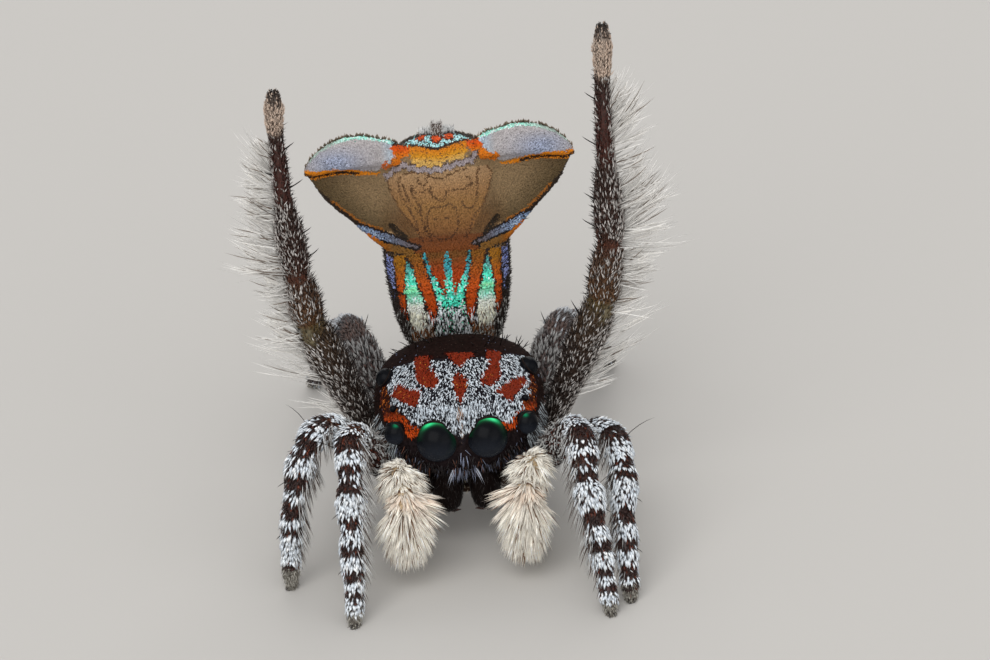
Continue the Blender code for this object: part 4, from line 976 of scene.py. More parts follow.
def fan_growth(skin, count, draws, density):
    """Growth on the fan, with its places sideways and in height.

    The density is a function of sideways, height, forward and facing.
    """
    g = Growth(skin, count, draws, lambda points, normals, unwrap: density(
        *fan_place(points), normals @ FAN_FRONT))
    g.x, g.height, _ = fan_place(g.roots)
    return g


def make_fan():
    """The fan's one skin, its scales in three belts, and the coat of its back."""
    draws = np.random.default_rng(SEEDS["fan"])
    skin = fan_skin(0.02)
    tint = fan_paint(skin["points"], skin["normals"], draws, 0.0) * 0.8
    add_skin("fan_skin", skin, tint, "fan_skin", ["abdomen", "fan_flap_L", "fan_flap_R"])
    for part, lowest, highest, count in FAN_BELTS:
        g = fan_growth(skin, count, draws, lambda x, h, f, facing: (
            (facing > 0) & (h > lowest) & (h <= highest)))
        colour = fan_paint(g.roots, g.out, draws, 0.0025)
        glitter = (colour[:, 1] > colour[:, 0] * 1.4) | (colour[:, 2] > colour[:, 0] * 1.3)
        colour = pick(glitter, vary(colour, draws, 0.28), vary(colour, draws, 0.11))
        lie = g.flat(np.outer(g.x * 0.9, (1, 0, 0)) + FAN_UP * 0.8 + g.stray(0.3))
        low = g.height < 1.05
        lie[low] = g.flat(g.stray(0.25) - FAN_UP)[low]
        length = np.interp(g.height, [1.05, 1.4, 2.0], [0.048, 0.036, 0.030]) * g.even(0.8, 1.2)
        batch = g.scales(lie, length, length * np.where(low, 0.42, 0.64), 0.08, 0.06, colour)
        add_coat(f"fan_{part}_scales", [batch], "fan_scale")
    g = fan_growth(skin, 9000, draws, lambda x, h, f, facing: facing < 0.30)
    colour = vary(fan_paint(g.roots, g.out, draws, 0.01), draws, 0.15)
    lie = g.flat(FAN_UP * 0.9 + g.stray(0.25))
    edge = (g.out @ FAN_FRONT > -0.5) & (g.height > 1.6)
    batches = [g.scales(lie, g.even(0.05, 0.08) * np.where(edge, 0.45, 1), 0.028, 0.12, 0.06, colour)]
    g = fan_growth(skin, 3200, draws, lambda x, h, f, facing: (
        (facing < 0.30) * np.where((np.abs(x) > 0.6) & (h > 2.2), 0.05, 1.0)))
    colour = vary(fan_paint(g.roots, g.out, draws, 0.01), draws, 0.2)
    lie = g.flat(FAN_UP + g.stray(0.3)) + g.lifted(0.3, 0.8)
    batches.append(g.hairs(lie, g.even(0.06, 0.11), 0.009, -0.2, colour))
    add_coat("fan_back_coat", batches, "hair")
    make_neck_hair(skin, draws)
    make_fan_rim(skin, draws)


def make_neck_hair(skin, draws):
    """Pale and black hair that hangs from the foot of the fan over the back of the carapace."""
    g = fan_growth(skin, 2600, draws, lambda x, h, f, facing: (h > 0.30) & (h < 0.92) & (facing > 0.15))
    side = np.abs(g.x)
    chance = draws.random(g.count)
    colour = pick(chance < 0.56, paint(226, 230, 232), BLACK)
    brown = mix(paint(70, 46, 30), paint(140, 90, 50), draws.random(g.count))
    drop = (side > 0.25) & (side < 0.42) & (g.height > 0.72)
    between = (side > 0.19) & (g.height < 0.80) & ~drop
    for where, share, one, other in ((drop, 0.8, paint(236, 234, 214), BROWN), (between, 0.3, PALE, brown),
                                     (side > 0.42, 0.2, PALE, paint(38, 28, 24))):
        colour[where] = pick(chance < share, one, other)[where]
    lie = g.flat(g.stray(0.18) - FAN_UP) + g.lifted(0.1, 0.5)
    batch = g.hairs(lie, g.even(0.05, 0.095), 0.0145, DOWN * 0.25, colour, 0.12, sections=3)
    add_coat("fan_neck_hair", [batch], "hair")


def make_fan_rim(skin, draws):
    """Short hair along the rim of the fan, dark hair on its flanks and a pale tuft at its top."""
    g = fan_growth(skin, 1500, draws, lambda x, h, f, facing: (
        (np.abs(facing) < 0.5) & (np.abs(x) > 0.55) & (h > 1.3)))
    lie = g.out + FAN_UP * 0.3 + g.stray(0.25)
    colour = pick(g.height > 2.55, paint(150, 176, 160), paint(50, 38, 30))
    length = g.even(0.008, 0.018) * np.where(g.height > 2.5, 0.5, 1)
    rim, colour, spot = g.hairs(lie, length, 0.006, 0.0, colour)
    g = fan_growth(skin, 2400, draws, lambda x, h, f, facing: (
        (np.abs(x) > 0.42) & (h < 1.45) & (h > 0.3) & (facing < 0.7) & (facing > -0.6)))
    dark = vary(g.plain(44, 34, 28), draws, 0.3)
    flanks = g.hairs(g.out * 0.9 + FAN_UP * 0.6 + g.stray(0.25), g.even(0.06, 0.11), 0.009, -0.3, dark)
    g = fan_growth(skin, 420, draws, lambda x, h, f, facing: (np.abs(x) < 0.17) & (h > 2.58) & (f < 0.05))
    pale = vary(g.some(0.15, paint(70, 60, 58), paint(226, 226, 224)), draws, 0.15)
    tuft = g.hairs(g.out * 0.3 + FAN_UP + g.stray(0.18), g.even(0.05, 0.10), 0.009, 0.0, pale)
    add_coat("fan_rim_hair", [(rim, vary(colour, draws, 0.2), spot), flanks, tuft], "dark_hair")


def face_place(points):
    """Sideways, and how far up the face, measured square to a line that slopes down at 30 degrees."""
    return points[:, 0], points[:, 2] * math.cos(VIEW_TILT) + points[:, 1] * 0.5


def carapace_paint(points, normals, draws, jitter):
    """Colours of the carapace, and its kinds: 0 rear, 1 pale field, 2 red patch, 3 margin, 4 face."""
    x, up = face_place(points)
    x = x + draws.normal(0, jitter, len(x))
    up = up + draws.normal(0, jitter, len(x))
    spots, folded = np.stack([x, up], 1), np.stack([np.abs(x), up], 1)
    chance = draws.random(len(x))
    ahead = (points[:, 1] < 0.32) & (normals[:, 2] > -0.1)
    kind = np.zeros(len(x), int)
    kind[ahead & within(folded, MARGIN)] = 3
    kind[ahead & within(spots, FIELD)] = 1
    for patch in RED_PATCHES:
        kind[ahead & (within(spots, patch) | near(spots, patch + patch[:1], 0.026))] = 2
    kind[(points[:, 1] < -0.7) & (up < 0.62) & (kind == 0)] = 4
    rear = mix(paint(24, 14, 12), paint(13, 8, 10), chance)
    rear[chance > 0.5] = paint(66, 48, 40)
    rear[chance > 0.86] = paint(116, 124, 148)
    white = mix(paint(190, 200, 208), paint(236, 240, 244), chance)
    white[chance > np.interp(up, [0.62, 0.80, 1.05, 1.25], [0.74, 0.60, 0.62, 0.72])] = paint(34, 33, 39)
    red = pick(chance < 0.02, paint(170, 104, 40), mix(paint(104, 30, 12), paint(132, 44, 18), chance))
    margin = mix(pick(chance < 0.12, paint(170, 92, 34), mix(paint(78, 28, 13), paint(34, 15, 11), chance)),
                 pick(chance < 0.30, paint(70, 28, 14), mix(paint(150, 42, 12), paint(206, 84, 24), chance)),
                 fades(up, 0.93, 0.10))
    face = mix(paint(20, 15, 16), paint(34, 27, 28), chance)
    return np.choose(kind[:, None], [rear, white, red, margin, face]), kind


def eye_clearance(points):
    """How far points lie from the nearest eye."""
    gap = np.full(len(points), np.inf)
    for x, y, z, radius in EYES.values():
        for sign in (1, -1):
            gap = np.minimum(gap, np.linalg.norm(points - (sign * x, y, z), axis=1) - radius)
    return gap


def make_carapace():
    """The carapace with its short flat scales."""
    draws = np.random.default_rng(SEEDS["carapace"])
    skin = body_skin(CARAPACE, 120, 2.1, -0.015, 110)
    tint, kind = carapace_paint(skin["points"], skin["normals"], draws, 0.0)
    for number, shade in enumerate([(32, 21, 19), (32, 30, 35), (60, 17, 8)]):
        tint[kind == number] = paint(*shade)
    add_skin("carapace_skin", skin, tint, "head", ["carapace"])

    def field(points, normals, unwrap):
        _, found = carapace_paint(points, normals, draws, 0.0)
        return np.choose(found, [0.025, 0.42, 1.1, 0.7, 0.0]) * (eye_clearance(points) > 0.012)

    g = Growth(skin, 9000, draws, field)
    colour, kind = carapace_paint(g.roots, g.out, draws, 0.008)
    x, up = face_place(g.roots)
    toward = np.stack([-x * 0.9 + np.where(up > 1.0, x * 1.4, 0), 0 * x - 1, 0 * x - 1], 1)
    lie = g.flat(toward + g.stray(0.28))
    length = np.choose(kind, [0.035, 0.064, 0.042, 0.050, 0.05]) * g.even(0.75, 1.25)
    length *= np.where(kind == 1, np.interp(up, [0.65, 0.95, 1.1], [1.35, 1.0, 0.8]), 1)
    length = np.minimum(length, eye_clearance(g.roots) + 0.012)
    width = np.choose(kind, [0.010, 0.0135, 0.022, 0.017, 0.01]) * g.even(0.8, 1.2)
    batch = g.scales(lie, length, width, 0.18, 0.10, colour, 0.12)
    add_coat("carapace_scales", [batch], "head_scale")
    make_face_hair(skin, draws)


def make_face_hair(skin, draws):
    """Hair over the eyes, on the cheeks, the clypeus and the beard, and a few long bristles."""

    def brow(points, normals, unwrap):
        x, up = face_place(points)
        lowest = np.where(np.abs(x) < 0.045, 0.44, 0.58)
        return ((np.abs(x) < 0.44) & (up > lowest) & (up < 0.98) & (points[:, 1] < -0.5)
                & (eye_clearance(points) > 0.02))

    g = Growth(skin, 1000, draws, brow)
    x = g.roots[:, 0]
    lie = g.flat(np.stack([-x * 1.3, 0 * x - 0.8, 0 * x - 1], 1) + g.stray(0.08)) + g.lifted(0.12, 0.3)
    colour = pick(np.abs(x) < 0.03, paint(176, 144, 122), paint(208, 218, 226))
    colour = g.some(0.40, paint(50, 46, 52), colour)
    length = np.clip(eye_clearance(g.roots) + 0.016, 0.02, 0.19) * g.even(0.85, 1.05)
    batches = [g.hairs(lie, length, 0.0095, -0.15, colour, 0.1, sections=3)]

    # Cheeks
    g = Growth(skin, 560, draws, lambda points, normals, unwrap: (
        (np.abs(points[:, 0]) > 0.64) & (points[:, 1] < -0.30)
        & (points[:, 2] < 1.28) & (points[:, 2] > 0.86)))
    colour = vary(g.some(0.62, paint(168, 176, 180), paint(48, 42, 42)), draws, 0.2)
    lie = DOWN + g.out * 0.35 + g.stray(0.1)
    batches.append(g.hairs(lie, g.even(0.10, 0.19), 0.012, 0.1, colour, sections=3))

    # Clypeus
    g = Growth(skin, 950, draws, lambda points, normals, unwrap: (
        (np.abs(points[:, 0]) < 0.74) & (points[:, 1] < -0.6) & (points[:, 2] < 1.22)
        & (eye_clearance(points) > 0.0)))
    chance = draws.random(g.count)
    colour = pick(chance < 0.74, paint(28, 21, 22), pick(chance < 0.9, paint(92, 98, 116), paint(96, 58, 42)))
    lie = DOWN + g.out * 0.5 + g.stray(0.35)
    batches.append(g.hairs(lie, g.even(0.05, 0.11), 0.009, 0.1, colour, 0.15, sections=3))

    # Beard, and three whiskers on each side of it
    g = Growth(skin, 46, draws, lambda points, normals, unwrap: (
        (np.abs(points[:, 0]) < 0.10) & (points[:, 1] < -0.85) & (points[:, 2] < 1.08)))
    colour = vary(g.plain(140, 147, 170), draws, 0.3)
    spread = np.outer(g.roots[:, 0] * 2.2, (1, 0, 0)) + DOWN
    lie = spread + g.out * 0.45 + g.stray(0.22)
    batches.append(g.hairs(lie, g.even(0.07, 0.15), 0.0068, DOWN * 0.2, colour, sections=3))
    roots = np.array([(side * 0.085 + step * 0.012, -1.06, 1.0 - abs(step) * 0.01) for side in (-1, 1)
                      for step in (-1, 0, 1)])
    lie = unit(np.outer(np.sign(roots[:, 0]) * 0.55, (1, 0, 0)) + (0, -0.35, -0.8))
    spot = np.full((6, 2), 0.02) + np.arange(6)[:, None] * 0.004
    whiskers = strands(roots, np.broadcast_to((0, -1.0, 0), lie.shape), lie,
                       draws.uniform(0.14, 0.20, 6), 0.010, DOWN * 0.35)
    batches.append((whiskers, np.broadcast_to(paint(196, 202, 216), (6, 3)), spot))
    add_coat("face_hair", batches, "hair")

    def anywhere(points, normals, unwrap):
        return (normals[:, 2] > -0.3) & (eye_clearance(points) > 0.02)

    g = Growth(skin, 130, draws, anywhere)
    lie = g.out * 0.8 + np.array([0, -0.5, 0.1]) + g.stray(0.2)
    bristles = g.hairs(lie, g.even(0.10, 0.22), 0.010, -0.2, np.broadcast_to(BLACK, g.roots.shape), sections=3)
    g = Growth(skin, 1300, draws, anywhere)
    lie = g.flat(np.array([0, -1.0, 0]) + g.stray(0.3)) + g.out * 0.4
    fuzz = g.hairs(lie, g.even(0.03, 0.06), 0.006, -0.2,
                   g.some(0.8, paint(40, 28, 24), paint(112, 96, 88)), 0.3)
    add_coat("carapace_bristles", [bristles, fuzz], "dark_hair")


def eye_skin(centre, radius, sides=64, rows=40):
    """A ball as a skin, its poles on the y axis."""
    angle = 2 * np.pi * np.arange(sides) / sides
    rings = []
    for turn in np.linspace(0.02, math.pi - 0.02, rows):
        spread = radius * math.sin(turn)
        rings.append(np.array(centre) + np.stack([
            spread * np.cos(angle), np.full(sides, -radius * math.cos(turn)), spread * np.sin(angle)], 1))
    return skin_of_rings(rings)


def make_eyes():
    """Glossy eyes, the four front ones with an emerald crescent near the top, partly their own green and
    partly painted reflection, with painted glints and a painted blue-grey reflection low on the lens, and
    their dark rims.
    """
    upward = np.array([0, 0.5, math.cos(VIEW_TILT)])
    rims = []
    for pair, (x, y, z, radius) in EYES.items():
        for letter, sign in (("L", 1), ("R", -1)):
            centre = np.array([sign * x, y, z])
            skin = eye_skin(centre, radius)
            offset = skin["points"] - centre
            a, b = offset[:, 0] / radius, offset @ upward / radius
            ahead = np.clip(-offset[:, 1] / radius * 2 + 0.6, 0, 1)
            tint = np.broadcast_to(paint(8, 9, 12), offset.shape)
            if pair.startswith("front"):
                # Painted reflection: the lower part of a front lens turned dark blue-grey
                tint = mix(tint, paint(25, 28, 34), np.clip((-b + 0.02) * 1.3, 0, 0.8) * ahead)
            if pair == "front_median":
                # The crescent's arc and soft green are partly the eye's own green inside and partly painted
                # reflection; the bright glint on it is a painted highlight
                reach, turned = np.hypot(a, b), np.degrees(np.arctan2(b, a)) - 90
                arc = np.exp(-np.abs((turned + 8 * sign) / 31) ** 3) * bell(reach, 0.87, 0.09)
                soft = bell(turned, 12 * sign, 66) * bell(reach, 0.82, 0.13)
                glint = bell(turned, -22 * sign, 17) * bell(reach, 0.84, 0.08)
                tint = mix(tint, paint(6, 80, 42), soft * 0.7 * ahead)
                tint = mix(tint, paint(8, 160, 82), arc * ahead)
                tint = mix(tint, paint(60, 232, 150), glint * 0.85 * ahead)
            if pair == "front_side":
                # A painted glint: a small green spot near the top of a front side eye
                spot = np.exp(-(((a + 0.05 * sign) / 0.20) ** 2) - ((b - 0.62) / 0.15) ** 2)
                tint = mix(tint, paint(10, 104, 68), spot * ahead)
            add_skin(f"eye_{pair}_{letter}_lens", skin, tint, "eye", [f"eye_{pair}_{letter}"])
            if pair in EYE_AIMS:
                rims.append(eye_rim(centre, unit(np.array(EYE_AIMS[pair]) * (sign, 1, 1)), radius))
    rim = merged(rims)
    add_piece("eye_rims", rim["points"], rim["faces"], np.broadcast_to(paint(30, 22, 20), rim["points"].shape),
              "shell")


def eye_rim(centre, out, radius, turns=48, sides=10):
    """A dark rounded ring where the eye leaves the head."""
    side = unit(np.cross(out, (0.1, 0.2, 0.97)))
    other = np.cross(out, side)
    angle = 2 * np.pi * np.arange(sides) / sides
    rings = []
    for turn in np.linspace(0, 2 * np.pi, turns + 1)[:-1]:
        way = side * math.cos(turn) + other * math.sin(turn)
        middle = centre + way * radius * 0.97 + out * radius * 0.12
        rings.append(middle + 0.09 * radius * (np.outer(np.cos(angle), way) + np.outer(np.sin(angle), out)))
    r, k = (grid.ravel() for grid in np.mgrid[0:turns, 0:sides])
    r2, k2 = (r + 1) % turns, (k + 1) % sides
    a, b, c, d = r * sides + k, r * sides + k2, r2 * sides + k2, r2 * sides + k
    faces = np.vstack([np.stack([a, c, b], 1), np.stack([a, d, c], 1)])
    return skin_of(np.vstack(rings), faces, np.zeros((len(faces), 3, 2)))


def plain_coat(name, skin, count, draws, tint, length, width, way, stand=0.4):
    """Short even hair of one colour over a small part."""
    g = Growth(skin, count, draws)
    lie = g.flat(np.array(way) + g.stray(0.3)) + g.out * stand
    batch = g.hairs(lie, g.even(0.7, 1.3) * length, width, -0.15, g.plain(*tint), 0.25)
    add_coat(name, [batch], "hair")


def plain_skin(name, skin, shade, material, nodes):
    """A small part's skin in one colour."""
    tint = np.broadcast_to(paint(*shade), skin["points"].shape)
    add_skin(f"{name}_skin", skin, tint, material, nodes)


def make_small_parts():
    """Sternum, labium, jaws with their fangs, the stalk of the abdomen and the spinnerets."""
    draws = np.random.default_rng(SEEDS["small_parts"])
    for name, rows, sides, power, count in (("sternum", STERNUM, 60, 2.4, 500),
                                            ("labium", LABIUM, 40, 2.2, 60)):
        skin = body_skin(rows, sides, power, 0.0, 30)
        plain_skin(name, skin, (58, 42, 32), "shell", [name])
        plain_coat(f"{name}_hair", skin, count, draws, (170, 160, 140), 0.07, 0.009, (0, 1.0, 0))
    angle = 2 * np.pi * np.arange(40) / 40
    lowest = CHELICERA[0][0]
    for letter, sign in (("L", 1), ("R", -1)):
        name = f"chelicera_{letter}"
        rings = []
        for z in np.linspace(lowest, CHELICERA[-1][0], 30):
            centre = np.array([sign * CHELICERA_X, CHELICERA_Y, z])
            radius = float(along(CHELICERA, z)[0])
            rings.append(centre + radius * np.stack([np.cos(angle), np.sin(angle), 0 * angle], 1))
        skin = skin_of_rings(rings)
        # The jaws are near black, skin and hair alike: their own dark colour, darkened further as painted
        # shade between the palps
        plain_skin(name, skin, (20, 14, 13), "shell", [name])
        plain_coat(f"{name}_hair", skin, 300, draws, (36, 30, 29), 0.07, 0.008, (0, 0, -1.0))
        start = np.array([sign * CHELICERA_X, CHELICERA_Y, lowest + 0.05])
        tip = np.array([sign * 0.07, CHELICERA_Y + 0.03, lowest - 0.03])
        fang = limb([start, (start + tip) / 2 + (sign * 0.03, -0.02, -0.02), tip], 0.05,
                    [(0.0, 0.032), (1.0, 0.024), (2.0, 0.004)], 16)
        add_piece(f"fang_{letter}", fang["points"], fang["faces"],
                  np.broadcast_to(paint(60, 22, 14), fang["points"].shape), "claw")
    rear_y, _, rear_top, rear_bottom = CARAPACE[-1]
    middle = (rear_top + rear_bottom) / 2
    stalk = limb([(0, rear_y + step, middle) for step in (-0.1, 0.15, 0.4)], 0.1,
                 [(0.0, 0.058), (2.0, 0.058)], 32)
    plain_skin("pedicel", stalk, (62, 46, 36), "shell", ["pedicel"])
    base = ABDOMEN[-1][0]
    skins = [limb([abdomen_point(0.0, base - 0.05, 0.03), abdomen_point(0.0, base + 0.02, 0.03),
                   abdomen_point(0.0, base + 0.07, 0.0)], 0.03, [(0.0, 0.07), (1.0, 0.055), (2.0, 0.04)], 24)]
    for sign in (1, -1):
        for forward, length in ((0.03, 0.09), (-0.03, 0.08)):
            start = abdomen_point(sign * 0.022, base + 0.02, forward * 0.6)
            tip = abdomen_point(sign * 0.045, base + length, forward * 1.4)
            skins.append(limb([start, (start + tip) / 2, tip], 0.02,
                              [(0.0, 0.022), (1.0, 0.019), (2.0, 0.008)], 14))
    skin = merged(skins)
    plain_skin("spinneret", skin, (70, 54, 44), "leg_skin", ["spinnerets"])
    plain_coat("spinneret_hair", skin, 420, draws, (184, 180, 176), 0.045, 0.008,
               FAN_UP, 0.9)


def leg_nodes(leg):
    """The frame's nodes that a leg's skin replaces."""
    return [f"{leg}_{part}" for part in ("coxa_femur", "patella_tibia", "tarsus")]


def limb_growth(skin, count, draws, density):
    """Growth on a limb, with its joint numbers and the limb's heading there.

    The density is a function of joint number, normals and the turn round the limb.
    """
    g = Growth(skin, count, draws, lambda points, normals, unwrap: density(
        unwrap[:, 1] * skin["last"], normals, unwrap[:, 0]))
    g.place = g.spot[:, 1] * skin["last"]
    g.heading = on_limb(skin, g.place)[1]
    return g


def clumps(place, turn):
    """A wavy number between -1 and 1 that changes every tenth of a millimetre over a leg."""
    turn = turn * 2 * np.pi
    lengthwise = np.sin(place * 31 + 2.3 * np.sin(turn * 2 + place * 5))
    return lengthwise * np.sin(turn * 4 + 2.1 * np.sin(place * 17))


def walking_paint(leg, place, turn, draws, jitter):
    """Colours of a walking leg, pale bands on dark brown and redder near the joints, and where it is pale."""
    chance = draws.random(len(place))
    colour = mix(paint(38, 26, 24), paint(64, 40, 34), chance)
    colour[chance > 0.90] = paint(104, 52, 36)
    knee = np.abs(place - 2.02) < 0.12
    colour[knee] = mix(paint(104, 58, 34), paint(60, 38, 28), chance)[knee]
    reach = place + SCALE_REACH + draws.normal(0, jitter, len(place))
    pale = np.any([(reach > first) & (reach < last) for first, last in BANDS.get(leg, REAR_BANDS)], axis=0)
    sparse = clumps(place, turn) + draws.normal(0, 0.30, len(place)) < -0.42
    upper = (place < 1.86) & (place > 1.15) & (chance < 0.36)
    stray = ~pale & (chance < 0.04) & (place > 1.9)
    foot = place > GREY_FOOT.get(leg, USUAL_GREY_FOOT)
    white = ((pale & ~sparse) | stray) & ~foot
    colour[white] = mix(paint(210, 218, 226), paint(240, 244, 247), chance)[white]
    colour[upper] = paint(170, 170, 168)
    colour[foot] = mix(paint(104, 98, 90), paint(172, 168, 158), chance)[foot]
    if leg.startswith("leg4"):
        colour = colour * 0.47 + paint(110, 104, 102) * 0.38
    return colour, white | upper


def above_floor(batch, clearance=0.003):
    """A batch of tufts with nothing below the floor."""
    heights = batch[0][0][:, :, 2]
    heights[:] = np.maximum(heights, clearance)
    return batch


def make_walking_leg(leg, seed):
    """A standing leg: banded scales, soft inner hair, short hair and spines."""
    draws = np.random.default_rng(seed)
    sign = math.copysign(1, LEGS[leg][0][0])
    skin = limb(LEGS[leg], KNEE_ROUNDING, WALKING_SKIN, flat_sole=True)
    tint, pale = walking_paint(leg, skin["point_places"], 0 * skin["point_places"], draws, 0.0)
    add_skin(f"{leg}_skin", skin, pick(pale, paint(56, 42, 38), tint), "leg_skin", leg_nodes(leg))

    def coated(place, normals, turn):
        _, found = walking_paint(leg, place, turn, draws, 0.0)
        return np.where(place > 1.0, np.where(found, 0.9, 0.85), 0.3)

    def shortened(place):
        return np.interp(place, [0, 4.8, 5.6, 6], [1, 1, 0.7, 0.5])

    g = limb_growth(skin, 4000, draws, coated)
    colour, pale = walking_paint(leg, g.place, g.spot[:, 0], draws, 0.022)
    lie = g.flat(g.heading + g.stray(0.22))
    length = np.where(pale, 0.094, 0.06) * g.even(0.75, 1.25) * shortened(g.place)
    width = np.where(pale, 0.028, 0.018) * g.even(0.8, 1.2)
    batch = above_floor(g.scales(lie, length, width, 0.38, 0.08, colour, 0.12), 0.002)
    add_coat(f"{leg}_scales", [batch], "scale")

    # Long soft hair on the inner side
    hidden = leg.startswith("leg4")
    g = limb_growth(skin, 420, draws, lambda place, normals, turn: (
        np.clip(-sign * normals[:, 0] - 0.25, 0, 1) * ((place > 1.5) & (place < 5.3))))
    clump = draws.normal(0, 0.14, (60, 3))[(g.place * 9).astype(int) % 60]
    lie = g.heading * 0.75 + g.out * 0.75 + np.array([0, -0.1, -0.25]) + clump + g.stray(0.1)
    length = g.even(0.14, 0.24) * np.interp(g.place, [1.5, 2.5, 4.5, 5.3], [0.9, 1, 0.9, 0.5])
    colour = vary(g.some(0.6, paint(196, 196, 194), paint(84, 70, 62)), draws, 0.18) * (0.7 if hidden else 1.0)
    batches = [g.hairs(lie, length * (0.6 if hidden else 1.0), 0.0085, DOWN * 0.42, colour, sections=3)]

    # Short hair all round
    g = limb_growth(skin, 900, draws, lambda place, normals, turn: place > 1.1)
    colour, pale = walking_paint(leg, g.place, g.spot[:, 0], draws, 0.04)
    lie = g.heading * 0.8 + g.lifted(0.4, 1.0) + g.stray(0.15)
    length = g.even(0.06, 0.12) * shortened(g.place) * (0.7 if hidden else 1.0)
    batches.append(g.hairs(lie, length, 0.009, -0.2, colour, 0.2))

    # The sole
    g = limb_growth(skin, 260, draws, lambda place, normals, turn: place > 5.45)
    lie = g.heading * 0.9 + g.lifted(0.3, 0.9) + g.stray(0.15)
    batches.append(g.hairs(lie, g.even(0.05, 0.09), 0.008, -0.15,
                           g.some(0.6, paint(176, 172, 162), paint(96, 90, 80)), 0.2))
    add_coat(f"{leg}_hair", [above_floor(batch) for batch in batches], "hair")
    make_bristles(leg, skin, WALKING_BRISTLES, sign, WALKING_SKIN, 0.011)


def make_bristles(leg, skin, rows, sign, radii, thick):
    """Long thin black spines, each at its own joint number and turn."""
    places, turns, length = np.array(rows).T
    centre, heading = on_limb(skin, places)
    turns = np.radians(turns)
    out = np.outer(np.cos(turns), (0.0, -1.0, 0.2)) + np.outer(np.sin(turns), (-sign, 0.0, 0.0))
    out = tangent(out, heading)
    radius = np.array([float(along(radii, place)[0]) for place in places])
    roots = centre + out * (radius - 0.01)[:, None]
    length = length * 1.05
    long_one = (length > 0.3)[:, None]
    lie = unit(out * 0.8 + heading * np.where(long_one, -0.5, 0.6))
    width = np.where(length > 0.3, 0.008, thick)
    bend = heading * np.where(long_one, 0.3, 0.08)
    spines = strands(roots, out, lie, length, width, bend, sections=4, sink=0.0)
    spot = np.stack([np.mod(turns / (2 * np.pi) + 0.5, 1), places / 6], 1)
    tint = np.broadcast_to(paint(22, 17, 15), roots.shape)
    add_coat(f"{leg}_spines", [(spines, tint, spot)], "dark_hair")


def raised_paint(place, outer, draws):
    """Colours down a raised leg, and how thickly pale scales grow."""
    chance = draws.random(len(place))
    colour = shaded(place, RAISED_SHADES)
    white = table_at(RAISED_PALE, place)[0]
    white = white * np.clip(0.75 + 0.5 * outer, 0.3, 1.2) * np.where(place < 5.1, 0.75, 1.0)
    pale = chance < white
    colour[pale] = mix(paint(104, 96, 90), paint(204, 199, 194), draws.random(len(place)))[pale]
    foot = pale & (place > 5.15)
    colour[foot] = mix(paint(206, 186, 168), paint(176, 154, 138), draws.random(len(place)))[foot]
    return colour, pale


def make_raised_leg(leg, seed):
    """A leg held up: dark with pale scales, hair, fringe and spines."""
    draws = np.random.default_rng(seed)
    sign = math.copysign(1, LEGS[leg][0][0])
    skin = limb(LEGS[leg], KNEE_ROUNDING, RAISED_SKIN)
    places = skin["point_places"]
    tint, pale = raised_paint(places, np.full(len(places), -9.0), np.random.default_rng(1))
    tint = pick(pale, paint(56, 42, 36), tint)
    tint[(np.abs(places - BARE_KNEE) < 0.11) & (sign * skin["normals"][:, 0] > 0.05)] = paint(112, 102, 78)
    add_skin(f"{leg}_skin", skin, tint, "leg_skin", leg_nodes(leg))

    def coated(place, normals, turn):
        bare_knee = (np.abs(place - BARE_KNEE) < 0.10) & (sign * normals[:, 0] > 0.1)
        bare = bare_knee | (np.abs(place - BARE_JOINT) < 0.03)
        shiny = (place > 4.05) & (place < 4.95) & (-normals[:, 1] > 0.86)
        return np.where(bare, 0.05, np.where(shiny, 0.12, 1.0)) * (place > 1.0)

    g = limb_growth(skin, 8500, draws, coated)
    colour, pale = raised_paint(g.place, sign * g.out[:, 0], draws)
    lie = g.flat(g.heading + g.stray(0.25))
    length = np.where(pale, 0.088, 0.062) * g.even(0.75, 1.25) * np.interp(g.place, [5.5, 6], [1, 0.5])
    batch = g.scales(lie, length, 0.0135 * g.even(0.8, 1.2), 0.30, 0.09, colour, 0.15)
    add_coat(f"{leg}_scales", [batch], "scale")

    g = limb_growth(skin, 2600, draws, lambda place, normals, turn: place > 1.1)
    colour, pale = raised_paint(g.place, sign * g.out[:, 0] - 0.4, draws)
    ahead = np.interp(g.place, [5.2, 5.7, 6], [0.8, 0.5, 0.2])[:, None]
    lie = g.heading * ahead + g.lifted(0.3, 0.9) + g.stray(0.15)
    length = g.even(0.06, 0.12) * np.interp(g.place, [1, 3, 5, 5.9, 6], [1.3, 1.1, 0.9, 0.6, 0.35])
    hairs, colour, spot = g.hairs(lie, length, 0.009, -0.25, g.some(0.5, paint(34, 26, 22), colour))

    g = limb_growth(skin, 620, draws, lambda place, normals, turn: (
        np.clip(-sign * normals[:, 0] - 0.2, 0, 1) * (place > 1.2) * (place < 5.3)))
    lie = g.heading * 0.6 + g.out + g.stray(0.2)
    length = g.even(0.07, 0.13) * np.interp(g.place, [1.2, 3, 5.3], [1.2, 1, 0.8])
    batches = [(hairs, vary(colour, draws, 0.2), spot),
               g.hairs(lie, length, 0.010, -0.1, g.plain(36, 27, 24), 0.3)]
    add_coat(f"{leg}_hair", batches, "hair")
    make_fringe(leg, skin, draws, sign)
    make_bristles(leg, skin, RAISED_SPINES, sign, RAISED_SKIN, 0.016)


